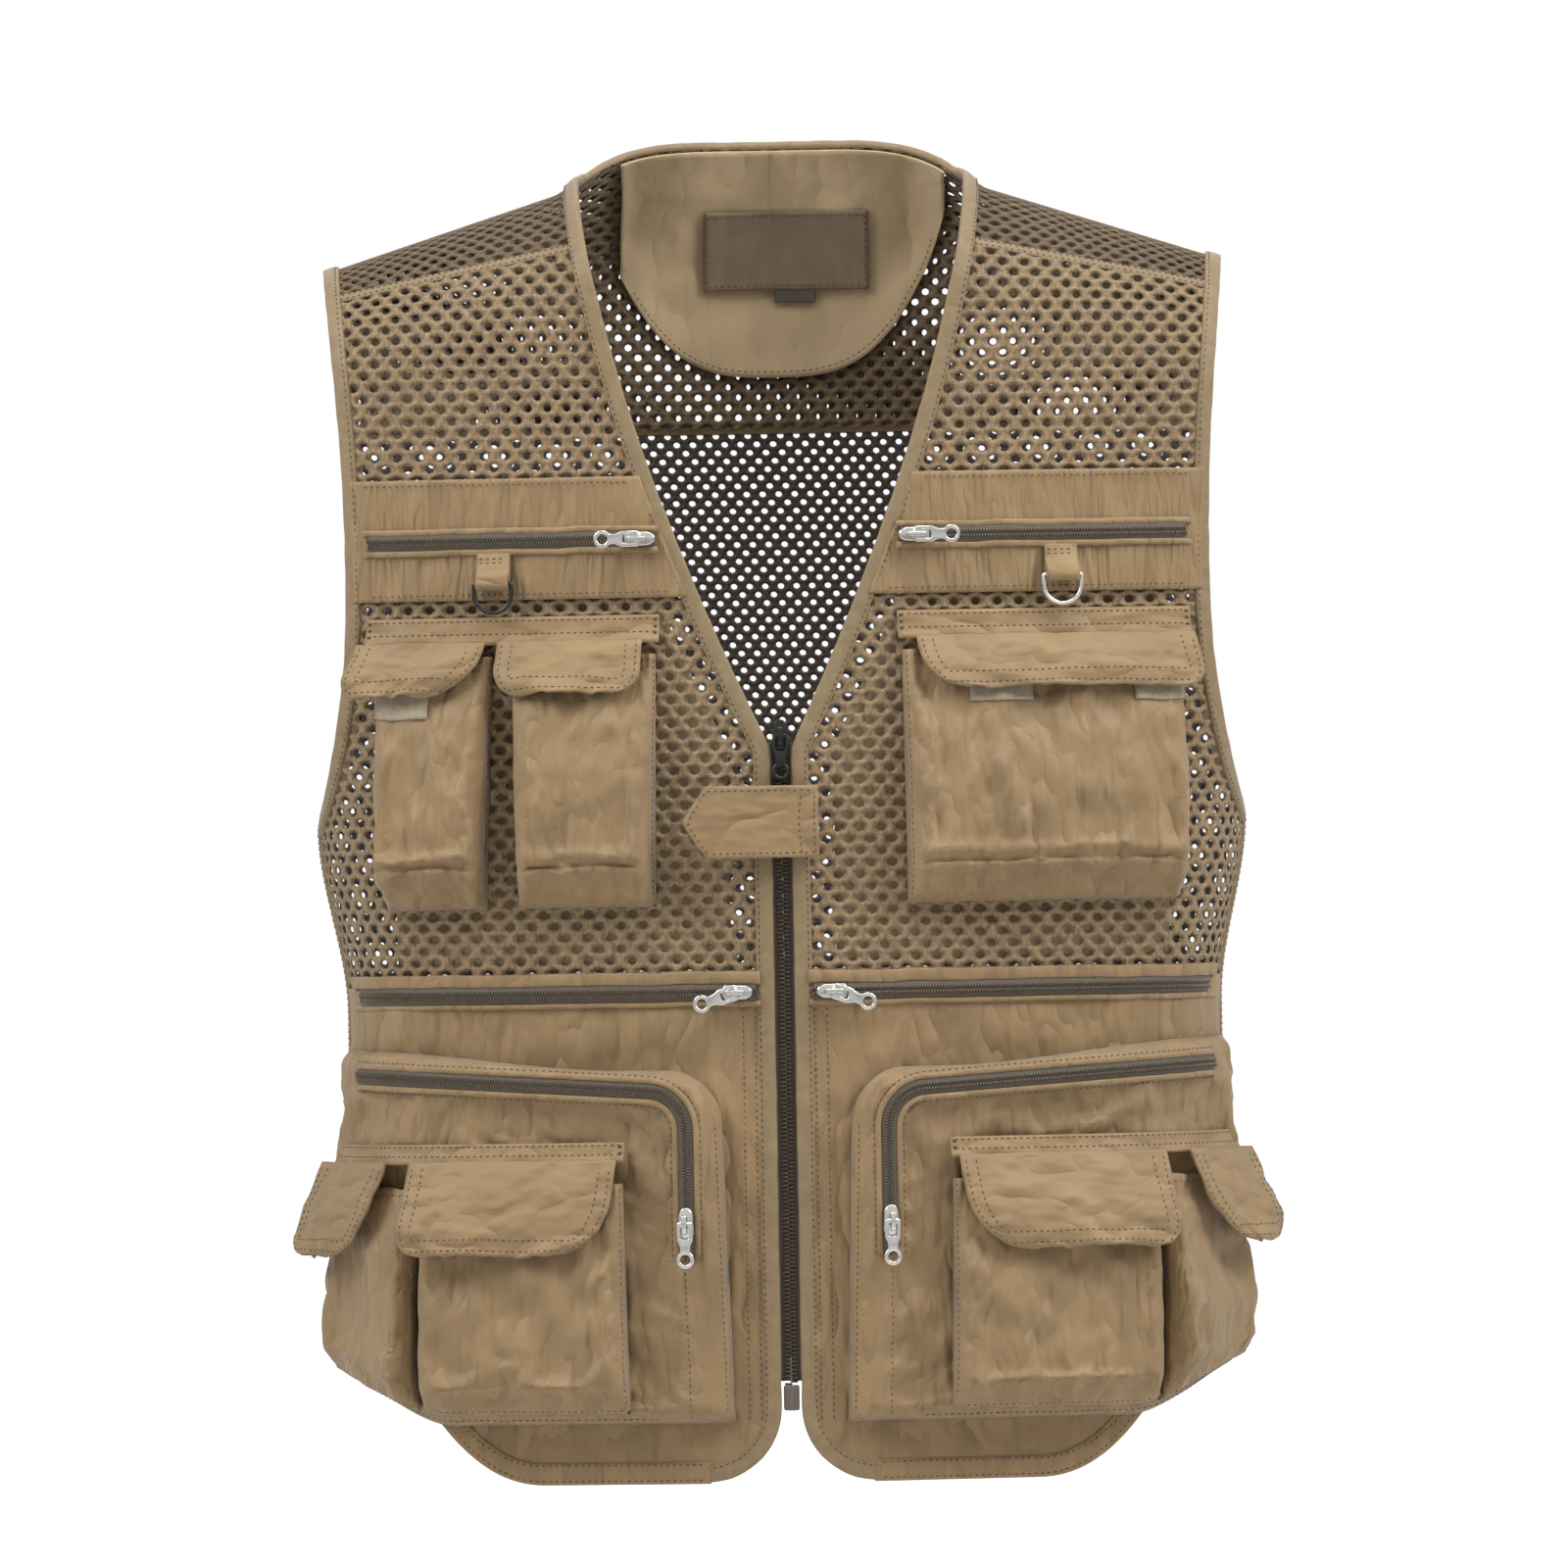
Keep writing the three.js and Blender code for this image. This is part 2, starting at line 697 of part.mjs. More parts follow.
function ringSet(side, name) {
  const eye = ringWire * 0.75 + loopClearance;
  const seat = station(front, side * ringX, ringBarZ, overlay + overlayCloth + eye + loopCloth + 0.6);
  const outer = plate(ringOutline(ringHalf, ringDrop + ringWire / 2), ringWire).translate(0, ringWire / 2, 0);
  const inner = plate(ringOutline(ringHalf - ringWire, ringDrop - ringWire * 1.5), 2 * ringWire);
  const wire = solid(outer).subtract(solid(inner.translate(0, -ringWire / 2, 0)));
  const ring = add("d_ring_" + name, geometryOf(wire), finish(gunmetal, 1, 0.3), seat);
  moves(ring, "d_ring_" + name + "_swing", "hinge", [-1, 0, 0], [0, 75]);
  const rise = loopTopZ - ringBarZ;
  const strap = new THREE.Shape();
  strap.moveTo(-eye - loopCloth, eye + loopCloth);
  strap.lineTo(-eye - loopCloth, -eye - loopCloth);
  strap.lineTo(eye + loopCloth, -eye - loopCloth);
  strap.lineTo(eye + loopCloth, eye + loopCloth);
  strap.lineTo(-eye + loopCloth * 1.5, rise);
  strap.lineTo(-eye - loopCloth, rise);
  strap.closePath();
  const eyeHole = new THREE.Path();
  eyeHole.absarc(0, 0, eye, 0, Math.PI * 2, true);
  strap.holes.push(eyeHole);
  const loop = plate(strap, loopWidth);
  loop.rotateY(Math.PI / 2);
  loop.scale(1, 1, -1);
  add("d_ring_loop_" + name, closed(loop), finish(khaki), seat);
}

function stormTab() {
  const seatOut = tabLow + 1.8;
  const seat = station(front, tabSewnX - 0.5, (tabTopZ + tabBottomZ) / 2, seatOut);
  const half = (tabTopZ - tabBottomZ) / 2;
  const lift = tabOffset - seatOut;
  const reach = tabTip - tabSewnX;
  const s = new THREE.Shape();
  s.moveTo(0.5, -half);
  s.lineTo(0.5, half);
  s.lineTo(reach + tabPoint, half);
  s.lineTo(reach, 0);
  s.lineTo(reach + tabPoint, -half);
  s.closePath();
  const top = new THREE.ExtrudeGeometry(s, { depth: tabCloth, bevelEnabled: false }).translate(0, 0, lift);
  const leg = box(0.5 - tabLeg, 0.5, -half, half, tabLow - seatOut, lift + 0.5);
  const tab = add("storm_tab", geometryOf(solid(top).add(solid(leg))), finish(khaki), seat);
  moves(tab, "storm_tab_open", "hinge", [0, 1, 0], [0, 120]);
}

function build() {
  add("back_yoke", backYoke(), finish(khaki));
  add("back_mesh_panel", backPanel(yokeSeamZ - seamSlit, waistSeamZ, 12), finish(khaki));
  add("back_lower_panel", backPanel(waistSeamZ - seamSlit, backHemZ, 4), finish(khaki));
  add("neck_facing", neckFacing(), finish(khaki));
  for (const [side, name] of [[-1, "right"], [1, "left"]]) {
    add("front_mesh_" + name, frontMesh(side), finish(khaki));
    add("front_lower_" + name, frontLower(side), finish(khaki));
    add("pocket_bag_" + name, pocketBag(side), finish(khaki));
    add("chest_band_" + name, chestBand(side), finish(khaki));
    add("armhole_binding_" + name, armholeBinding(side), finish(khaki));
    add("front_binding_" + name, frontBinding(side), finish(khaki));
    const chestTape = overlay + overlayCloth + 0.6;
    const chestZip = flatTape(side, chestZipFrom, chestZipTo, chestZipZ, chestTape);
    const waistZip = flatTape(side, waistZipFrom, waistZipTo, waistZipZ, overlay);
    add("chest_zip_tape_" + name, chestZip, finish(taupe));
    add("waist_zip_tape_" + name, waistZip, finish(taupe));
    add("cargo_zip_tape_" + name, cargoTape(side), finish(taupe));
    add("front_zip_tape_" + name, frontTape(side), finish(taupe));
    ringSet(side, name);
    add("cargo_pocket_" + name, cargoPocket(side), finish(khaki));
    for (const outer of [false, true]) {
      const part = (outer ? "side" : "front") + "_pouch";
      add(part + "_" + name, smallPocket(side, outer), finish(khaki));
      const x = outer ? 208 : 135;
      flap(part + "_flap_" + name, side * x, smallFlapZ, cargoFace(x) + 4.2, outer ? 60 : 108,
        smallFlapHeight, smallFlapTilt);
    }
    const pointing = side < 0 ? 180 : 0;
    zipPull("chest_zip_" + name, side * (chestZipFrom + 7), chestZipZ, chestTape + tapeCloth + 0.6,
      pointing, [0, chestTravel / 1000], steel);
    zipPull("waist_zip_" + name, side * (waistZipFrom + 9), waistZipZ, overlay + tapeCloth + 0.6,
      pointing, [0, waistTravel / 1000], steel);
    zipPull("cargo_zip_" + name, side * (cargoInnerTop + gusset + 3), cargoSliderZ,
      cargoFace(50) + tapeCloth + 1.6, -90, [-cargoTravel / 1000, 0], steel);
  }
  const retainer = bentBox(1, 1, (u, v, w) =>
    onBody(front, lerp(-4, 4, u), frontZipEndZ - 1 - zipBoxHeight * v, lerp(-4.2, 0, w)));
  add("front_zip_box", retainer, finish(gunmetal, 1, 0.4));
  const travel = frontSliderZ - frontZipEndZ - sliderLength + 1;
  zipPull("front_zip", 0, frontSliderZ, frontSliderOffset, -90, [0, travel / 1000], gunmetal);
  const hingeOut = chestBase() + 2.8;
  add("chest_pouch_outer", chestPocket(-1, 145, 205, 150, 200), finish(khaki));
  add("chest_pouch_inner", chestPocket(-1, 62, 136, 64, 134), finish(khaki));
  add("chest_pouch_left", chestPocket(1, 62, 204, 63, 201), finish(khaki));
  flap("chest_flap_outer", -181, flapHingeZ, hingeOut, 68, chestFlapHeight, flapTilt);
  flap("chest_flap_inner", -105, flapHingeZ, hingeOut, 75, chestFlapHeight, flapTilt);
  flap("chest_flap_left", 140, flapHingeZ, hingeOut, 145, chestFlapHeight, flapTilt);
  stormTab();
}

build();

export default vest;
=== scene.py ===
import bpy
import math
import time
import numpy as np
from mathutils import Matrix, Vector


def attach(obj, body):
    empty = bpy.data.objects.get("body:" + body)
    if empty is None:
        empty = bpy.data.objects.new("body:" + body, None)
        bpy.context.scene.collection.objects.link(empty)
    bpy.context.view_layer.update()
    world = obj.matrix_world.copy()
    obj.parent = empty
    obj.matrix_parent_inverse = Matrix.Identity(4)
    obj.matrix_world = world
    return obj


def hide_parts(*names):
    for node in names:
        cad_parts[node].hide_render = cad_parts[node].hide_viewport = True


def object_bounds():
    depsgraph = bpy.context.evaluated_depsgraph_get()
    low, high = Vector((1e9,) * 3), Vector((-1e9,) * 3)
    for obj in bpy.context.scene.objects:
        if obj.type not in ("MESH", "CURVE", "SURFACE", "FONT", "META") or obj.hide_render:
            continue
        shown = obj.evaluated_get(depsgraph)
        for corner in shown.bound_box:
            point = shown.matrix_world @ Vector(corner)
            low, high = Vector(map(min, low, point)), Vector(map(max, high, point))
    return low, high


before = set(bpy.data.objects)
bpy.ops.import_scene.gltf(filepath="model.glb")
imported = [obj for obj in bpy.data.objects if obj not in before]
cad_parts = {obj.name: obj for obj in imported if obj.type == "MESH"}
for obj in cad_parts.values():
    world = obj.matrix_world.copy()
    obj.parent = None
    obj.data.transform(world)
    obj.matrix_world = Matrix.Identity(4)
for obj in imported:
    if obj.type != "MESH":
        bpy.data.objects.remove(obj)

started = time.time()
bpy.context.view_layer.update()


def report(stage):
    print(f"{stage}: {time.time() - started:.0f} s")


# The camera stands square to the front, a little rolled because the vest leans.
camera = {"distance": 9.0, "seenWidth": 0.797, "aimX": 0.0015, "aimZ": -0.3075, "roll": 1.0}


def makeCamera():
    data = bpy.data.cameras.new("camera")
    low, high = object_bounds()
    data.sensor_width = 36
    data.lens = data.sensor_width * camera["distance"] / camera["seenWidth"]
    eye = bpy.data.objects.new("camera", data)
    bpy.context.scene.collection.objects.link(eye)
    eye.location = (camera["aimX"], low.y + 0.03 - camera["distance"], camera["aimZ"])
    eye.rotation_euler = (math.pi / 2, math.radians(camera["roll"]), 0)
    data.clip_end = 50
    bpy.context.scene.camera = eye


makeCamera()

# The body form, in millimetres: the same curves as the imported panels.
form = {
    "neckHalf": 98, "shoulderSlope": 0.32, "collarRise": 26, "collarSpread": 14, "collarRun": 45,
    "shoulderHalf": 228, "shoulderRound": 65, "neckRound": 50, "backNeckZ": 24.5,
    "underarmZ": -326, "underarmHalf": 236, "waistHalf": 222, "waistRun": 95,
    "sleeveHalf": 256, "sleeveRun": 90, "chestHalf": 217.5, "chestZ": -200,
    "frontDepth": 112, "backDepth": 104, "sideTaper": 0.2, "taperRound": 25, "sidePower": 10,
    "frontGap": 5.6, "vNeckZ": -290, "yokeSeamZ": -122, "waistSeamZ": -407,
    "hemZ": -662, "hemCurveStart": 125, "hemCurveRun": 55, "hemCurveRise": 38, "sideHemRise": 20,
    "frontCorner": 38, "backHemZ": -606,
}
front, back = -1.0, 1.0


def smooth(t):
    t = np.clip(t, 0, 1)
    return t * t * (3 - 2 * t)


def mix(a, b, t):
    return a + (b - a) * t


def ridgeZ(x):
    reach = np.abs(x)
    rise = form["collarRise"] * smooth((form["neckHalf"] + form["collarSpread"] - reach) / form["collarRun"])
    return form["shoulderSlope"] * (form["neckHalf"] - reach) + rise


def sectionHalf(z):
    above = mix(form["underarmHalf"], form["sleeveHalf"],
                smooth((z - form["underarmZ"]) / form["sleeveRun"]))
    below = mix(form["underarmHalf"], form["waistHalf"], smooth((form["underarmZ"] - z) / form["waistRun"]))
    return np.where(z > form["underarmZ"], above, below)


def depthAt(face, x):
    reach = np.hypot(x, form["taperRound"]) - form["taperRound"]
    return np.where(face < 0, form["frontDepth"], form["backDepth"]) - form["sideTaper"] * reach


def sideShare(x, z):
    return 1 - (np.abs(x) / sectionHalf(z)) ** form["sidePower"]


def topRound(x):
    return form["shoulderRound"] + form["neckRound"] * smooth((form["neckHalf"] - np.abs(x)) / 60)


def topShare(x, z):
    t = (ridgeZ(x) - z) / topRound(x)
    return np.where(t >= 1, 1.0, 1 - (1 - t) ** 2)


def onBody(face, x, z, out=0.0):
    # Points out from the front or back surface, one row for each x and z, and the way out of it.
    face, x, z, out = np.broadcast_arrays(*[np.asarray(v, float) for v in (face, x, z, out)])
    share = np.maximum(0, sideShare(x, z)) * np.maximum(0, topShare(x, z))
    y = face * depthAt(face, x) * np.sqrt(share)
    step = 0.01

    def field(px, py, pz):
        return (py / depthAt(face, px)) ** 2 - sideShare(px, pz) * topShare(px, pz)

    normal = np.stack([
        field(x + step, y, z) - field(x - step, y, z),
        field(x, y + step, z) - field(x, y - step, z),
        field(x, y, z + step) - field(x, y, z - step),
    ], -1)
    normal /= np.maximum(1e-12, np.linalg.norm(normal, axis=-1, keepdims=True))
    return np.stack([x, y, z], -1) + normal * out[..., None], normal


def openingHalf(z):
    t = np.clip(np.asarray(z, float) / form["vNeckZ"], 0, 1)
    return form["frontGap"] + (form["neckHalf"] - form["frontGap"]) * (1 - t ** 1.5)


def armholeX(z):
    above = form["chestHalf"] + (form["shoulderHalf"]
                                 - form["chestHalf"]) * ((z - form["chestZ"]) / 160) ** 2
    drop = np.maximum(0, form["chestZ"] - z) / (form["chestZ"] - form["underarmZ"])
    below = form["chestHalf"] + (form["underarmHalf"] - form["chestHalf"]) * drop ** 2.2
    return np.where(z > form["chestZ"], above, below)


def panelEdge(z):
    seam = sectionHalf(z) - 0.005
    return np.where(z <= form["underarmZ"], seam, np.minimum(armholeX(z), seam))


def backNeckline(x):
    share = np.minimum(1, np.abs(x) / form["neckHalf"]) ** 5
    neckline = mix(form["backNeckZ"], ridgeZ(form["neckHalf"]), share)
    ridge = ridgeZ(x) - 0.0006
    return np.where(np.abs(x) < form["neckHalf"], np.minimum(neckline, ridge), ridge)


def frontHem(x):
    reach = np.abs(x)
    past = np.maximum(0, reach - form["hemCurveStart"]) / form["hemCurveRun"]
    sideRun = form["waistHalf"] - form["hemCurveStart"] - form["hemCurveRun"]
    curve = form["hemCurveRise"] * np.minimum(1, past) ** 2.2
    side = form["sideHemRise"] * np.maximum(0, past - 1) * form["hemCurveRun"] / sideRun
    inside = np.maximum(0, form["frontCorner"] - (reach - form["frontGap"]))
    corner = form["frontCorner"] - np.sqrt(np.maximum(0, form["frontCorner"] ** 2 - inside ** 2))
    return form["hemZ"] + curve + side + corner


# Cloth lengths along the form: widths are measured along the cloth from the centre line.
def girth(z, face):
    half = float(sectionHalf(np.array(z))) - 0.005
    xs = half * (1 - (1 - np.linspace(0, 1, 300)) ** 2.5)
    ys = depthAt(np.full(xs.shape, face), xs) * np.sqrt(np.maximum(0, 1 - (xs / (half + 0.005)) ** 10))
    return xs, np.concatenate([[0], np.cumsum(np.hypot(np.diff(xs), np.diff(ys)))])


def across(s, z, face):
    # The x at each width s along the cloth, for points grouped by their height z.
    out = np.empty_like(s)
    for level in np.unique(z):
        rows = z == level
        xs, lengths = girth(level, face)
        out[rows] = np.sign(s[rows]) * np.interp(np.abs(s[rows]), lengths, xs)
    return out


def crownTable(depth):
    angle = np.linspace(0, math.pi / 2, 200)
    drop = form["shoulderRound"] * (1 - np.cos(angle))
    run = np.concatenate([[0], np.cumsum(np.hypot(np.diff(depth * np.sin(angle)), np.diff(drop)))])
    return run, drop, float(run[-1] - form["shoulderRound"])


crownRun, crownDrop, crownSpare = crownTable(82.0)


def down(x, t):
    # The z at a length t down the cloth, and the length below the ridge.
    # Below the shoulder's curve t is -z.
    ridge = ridgeZ(np.maximum(np.abs(x), 60))
    below = t + ridge + crownSpare
    drop = np.where(below > crownRun[-1], below - crownSpare, np.interp(below, crownRun, crownDrop))
    return ridge - drop, below


# Repeatable noise for creases, from -1 to 1.
def noise(a, b, size, seed):
    rng = np.random.default_rng(seed)
    table = rng.uniform(-1, 1, (64, 64))
    a, b = a / size[0], b / size[1]
    i, j = np.floor(a).astype(int), np.floor(b).astype(int)
    fa, fb = smooth(a - i), smooth(b - j)
    corner = [table[(i + di) % 64, (j + dj) % 64] for di in (0, 1) for dj in (0, 1)]
    return mix(mix(corner[0], corner[1], fb), mix(corner[2], corner[3], fb), fa)


# Meshes
def newObject(name, vertices, faces, material, body="vest", slot="nylon_cloth", replaced=(),
              shadeSmooth=True):
    mesh = bpy.data.meshes.new(name)
    mesh.from_pydata([tuple(v) for v in np.asarray(vertices, float) * 0.001], [], [tuple(f) for f in faces])
    mesh.validate()
    mesh.update()
    mesh.polygons.foreach_set("use_smooth", [shadeSmooth] * len(mesh.polygons))
    mesh.materials.append(material)
    made = bpy.data.objects.new(name, mesh)
    bpy.context.scene.collection.objects.link(made)
    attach(made, body)
    if replaced:
        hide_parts(*replaced)
    return made


def gridNormals(points):
    du = np.gradient(points, axis=1)
    dv = np.gradient(points, axis=0)
    normal = np.cross(du, dv)
    return normal / np.maximum(1e-12, np.linalg.norm(normal, axis=-1, keepdims=True))


def outwardNormals(points, like):
    # Grid normals, turned to the same side as a known outward direction.
    normal = gridNormals(points)
    if (normal * like).sum() < 0:
        normal = -normal
    return normal


def slabMesh(points, normals, thickness):
    # Outer and inner grids joined round their rim, as one closed sheet with a slightly rounded edge.
    rows, cols = points.shape[:2]
    outer = points.reshape(-1, 3)
    inner = (points - normals * thickness).reshape(-1, 3)
    count = rows * cols
    index = np.arange(count).reshape(rows, cols)
    quads = np.stack([index[:-1, :-1], index[:-1, 1:], index[1:, 1:], index[1:, :-1]], -1).reshape(-1, 4)
    a, b, c = outer[quads[0][0]], outer[quads[0][1]], outer[quads[0][2]]
    if np.dot(np.cross(b - a, c - b), normals.reshape(-1, 3)[quads[0][0]]) < 0:
        quads = quads[:, ::-1]
    rim = np.concatenate([index[0, :-1], index[:-1, -1], index[-1, :0:-1], index[:0:-1, 0]])
    after = np.roll(rim, -1)
    step = np.stack([rim, after, after + count, rim + count], -1)
    forward = any(np.array_equal(quads[0][[k, (k + 1) % 4]], [rim[0], after[0]]) for k in range(4))
    step = step[:, ::-1] if forward else step
    return np.concatenate([outer, inner]), np.concatenate([quads, quads[:, ::-1] + count, step])


def sampleGrid(points, p, q):
    # Points at shares p across and q down a grid.
    rows, cols = points.shape[:2]
    x = np.clip(np.asarray(p, float), 0, 1) * (cols - 1)
    y = np.clip(np.asarray(q, float), 0, 1) * (rows - 1)
    i, j = np.minimum(x.astype(int), cols - 2), np.minimum(y.astype(int), rows - 2)
    fx, fy = (x - i)[..., None], (y - j)[..., None]
    upper = mix(points[j, i], points[j, i + 1], fx)
    lower = mix(points[j + 1, i], points[j + 1, i + 1], fx)
    return mix(upper, lower, fy)


thread = {"length": 2.4, "gap": 1.0, "radius": 0.4, "lift": 0.15}


def stitches(path, normals):
    # One row of thread along a path of points, each stitch a small tapered bar.
    path, normals = np.asarray(path, float), np.asarray(normals, float)
    run = np.concatenate([[0], np.cumsum(np.linalg.norm(np.diff(path, axis=0), axis=1))])
    pitch = thread["length"] + thread["gap"]
    starts = np.arange(0, max(run[-1] - thread["length"], 0), pitch)
    if not len(starts):
        return np.zeros((0, 3)), []
    places = np.stack([starts, starts + thread["length"] / 2, starts + thread["length"]], -1)
    at = np.stack([np.interp(places, run, path[:, k]) for k in range(3)], -1)
    up = np.stack([np.interp(places, run, normals[:, k]) for k in range(3)], -1)
    along = at[:, 2] - at[:, 0]
    along /= np.maximum(1e-9, np.linalg.norm(along, axis=1, keepdims=True))
    side = np.cross(along, up[:, 1])
    side /= np.maximum(1e-9, np.linalg.norm(side, axis=1, keepdims=True))
    r, lift = thread["radius"], thread["lift"]
    centre = at[:, 1] + up[:, 1] * lift
    verts = np.stack([
        at[:, 0] - up[:, 0] * 0.1, at[:, 2] - up[:, 2] * 0.1,
        centre + side * r, centre + up[:, 1] * r, centre - side * r, centre - up[:, 1] * r,
    ], 1).reshape(-1, 3)
    faces = []
    for k in range(len(starts)):
        o = 6 * k
        for m in range(4):
            a, b = o + 2 + m, o + 2 + (m + 1) % 4
            faces += [(o, b, a), (o + 1, a, b)]
    return verts, faces


class Bundle:
    # Gathers many small meshes into one piece.
    def __init__(self):
        self.vertices, self.faces, self.count = [], [], 0

    def add(self, vertices, faces):
        if len(vertices):
            self.vertices.append(np.asarray(vertices, float))
            self.faces += [tuple(int(i) + self.count for i in face) for face in faces]
            self.count += len(vertices)

    def make(self, name, material, body="vest", slot="nylon_cloth", replaced=(), shadeSmooth=True):
        if self.count:
            return newObject(name, np.concatenate(self.vertices), self.faces, material, body, slot, replaced,
                             shadeSmooth)


# Shader groups, each built once and placed in every material with that material's own numbers.
def shaderGroup(name, inputs, outputs):
    tree = bpy.data.node_groups.new(name, "ShaderNodeTree")
    for label, kind, value in inputs:
        socket = tree.interface.new_socket(name=label, in_out="INPUT", socket_type=kind)
        socket.default_value = value
    for label, kind in outputs:
        tree.interface.new_socket(name=label, in_out="OUTPUT", socket_type=kind)
    return tree, tree.nodes.new("NodeGroupInput"), tree.nodes.new("NodeGroupOutput")


def mathNode(tree, operation, a, b=None, clamp=False):
    node = tree.nodes.new("ShaderNodeMath")
    node.operation, node.use_clamp = operation, clamp
    for socket, value in zip(node.inputs, (a, b)):
        if value is None:
            continue
        if isinstance(value, (int, float)):
            socket.default_value = value
        else:
            tree.links.new(value, socket)
    return node.outputs[0]


def noiseNode(tree, vector, scale, detail=3.0, roughness=0.55):
    node = tree.nodes.new("ShaderNodeTexNoise")
    node.inputs["Detail"].default_value = detail
    node.inputs["Roughness"].default_value = roughness
    tree.links.new(vector, node.inputs["Vector"])
    if isinstance(scale, (int, float)):
        node.inputs["Scale"].default_value = scale
    else:
        tree.links.new(scale, node.inputs["Scale"])
    return node.outputs["Fac"]


def crinkleGroup():
    # Soft creases in cloth: a height for the bump, and a shade that paints shade and light into the colour,
    # darker in the folds.
    tree, start, end = shaderGroup(
        "crinkle",
        [("Creases per metre", "NodeSocketFloat", 60.0), ("Across", "NodeSocketFloat", 1.0),
         ("Up", "NodeSocketFloat", 1.0), ("Shading", "NodeSocketFloat", 0.2)],
        [("Height", "NodeSocketFloat"), ("Shade", "NodeSocketFloat")],
    )
    place = tree.nodes.new("ShaderNodeTexCoord").outputs["Object"]
    stretch = tree.nodes.new("ShaderNodeCombineXYZ")
    for label, axis in (("Across", "X"), ("Across", "Y"), ("Up", "Z")):
        tree.links.new(start.outputs[label], stretch.inputs[axis])
    scaled = tree.nodes.new("ShaderNodeVectorMath")
    scaled.operation = "MULTIPLY"
    tree.links.new(place, scaled.inputs[0])
    tree.links.new(stretch.outputs[0], scaled.inputs[1])
    coarse = noiseNode(tree, scaled.outputs[0], start.outputs["Creases per metre"], 2.0, 0.42)
    ridge = mathNode(tree, "ABSOLUTE", mathNode(tree, "SUBTRACT", coarse, 0.5))
    tree.links.new(ridge, end.inputs["Height"])
    # Painted shade and light: the colour is darkened where the crease noise is low and lightened where it is
    # high.
    folded = mathNode(tree, "MULTIPLY", mathNode(tree, "SUBTRACT", coarse, 0.5), start.outputs["Shading"])
    tree.links.new(mathNode(tree, "ADD", folded, 1.0), end.inputs["Shade"])
    return tree


def weaveGroup():
    # The fine grain of woven thread.
    tree, start, end = shaderGroup(
        "weave", [("Threads per metre", "NodeSocketFloat", 1400.0)],
        [("Height", "NodeSocketFloat"), ("Shade", "NodeSocketFloat")],
    )
    place = tree.nodes.new("ShaderNodeTexCoord").outputs["Object"]
    split = tree.nodes.new("ShaderNodeSeparateXYZ")
    tree.links.new(place, split.inputs[0])
    waves = []
    for run in (mathNode(tree, "ADD", split.outputs["X"], split.outputs["Y"]), split.outputs["Z"]):
        turns = mathNode(tree, "MULTIPLY",
                         mathNode(tree, "MULTIPLY", run, start.outputs["Threads per metre"]), 3.14)
        waves.append(mathNode(tree, "ABSOLUTE", mathNode(tree, "SINE", turns)))
    grain = mathNode(tree, "MULTIPLY", mathNode(tree, "ADD", waves[0], waves[1]), 0.5)
    tree.links.new(grain, end.inputs["Height"])
    fleck = noiseNode(tree, place, 900.0, 2.0)
    tree.links.new(mathNode(tree, "ADD", mathNode(tree, "MULTIPLY", fleck, 0.14), 0.93), end.inputs["Shade"])
    return tree


def toneGroup():
    # The base colour, a little uneven over a hand's width and multiplied by two shades.
    tree, start, end = shaderGroup(
        "tone",
        [("Color", "NodeSocketColor", (0.3, 0.2, 0.1, 1)), ("Uneven", "NodeSocketFloat", 0.1),
         ("Shade A", "NodeSocketFloat", 1.0), ("Shade B", "NodeSocketFloat", 1.0)],
        [("Color", "NodeSocketColor")],
    )
    place = tree.nodes.new("ShaderNodeTexCoord").outputs["Object"]
    patch = mathNode(tree, "SUBTRACT", noiseNode(tree, place, 9.0, 3.0), 0.5)
    level = mathNode(tree, "ADD", mathNode(tree, "MULTIPLY", patch, start.outputs["Uneven"]), 1.0)
    level = mathNode(tree, "MULTIPLY", level, start.outputs["Shade A"])
    level = mathNode(tree, "MULTIPLY", level, start.outputs["Shade B"])
    grey = tree.nodes.new("ShaderNodeCombineXYZ")
    for axis in "XYZ":
        tree.links.new(level, grey.inputs[axis])
    product = tree.nodes.new("ShaderNodeVectorMath")
    product.operation = "MULTIPLY"
    tree.links.new(start.outputs["Color"], product.inputs[0])
    tree.links.new(grey.outputs[0], product.inputs[1])
    tree.links.new(product.outputs[0], end.inputs["Color"])
    return tree


def scuffGroup():
    # Fine handling marks on metal and moulded parts: a roughness and a height.
    tree, start, end = shaderGroup(
        "scuff", [("Roughness", "NodeSocketFloat", 0.25), ("Marks", "NodeSocketFloat", 0.15)],
        [("Roughness", "NodeSocketFloat"), ("Height", "NodeSocketFloat")],
    )
    place = tree.nodes.new("ShaderNodeTexCoord").outputs["Object"]
    mark = noiseNode(tree, place, 420.0, 4.0, 0.7)
    worn = mathNode(tree, "MULTIPLY", mark, start.outputs["Marks"])
    tree.links.new(mathNode(tree, "ADD", worn, start.outputs["Roughness"], True), end.inputs["Roughness"])
    tree.links.new(mark, end.inputs["Height"])
    return tree


groups = {"crinkle": crinkleGroup(), "weave": weaveGroup(), "tone": toneGroup(), "scuff": scuffGroup()}


def placeGroup(tree, name, values):
    node = tree.nodes.new("ShaderNodeGroup")
    node.node_tree = groups[name]
    for label, value in values.items():
        node.inputs[label].default_value = value
    return node


def bumpFrom(tree, height, distance, strength, before=None):
    bump = tree.nodes.new("ShaderNodeBump")
    bump.inputs["Distance"].default_value = distance
    bump.inputs["Strength"].default_value = strength
    tree.links.new(height, bump.inputs["Height"])
    if before:
        tree.links.new(before, bump.inputs["Normal"])
    return bump.outputs["Normal"]


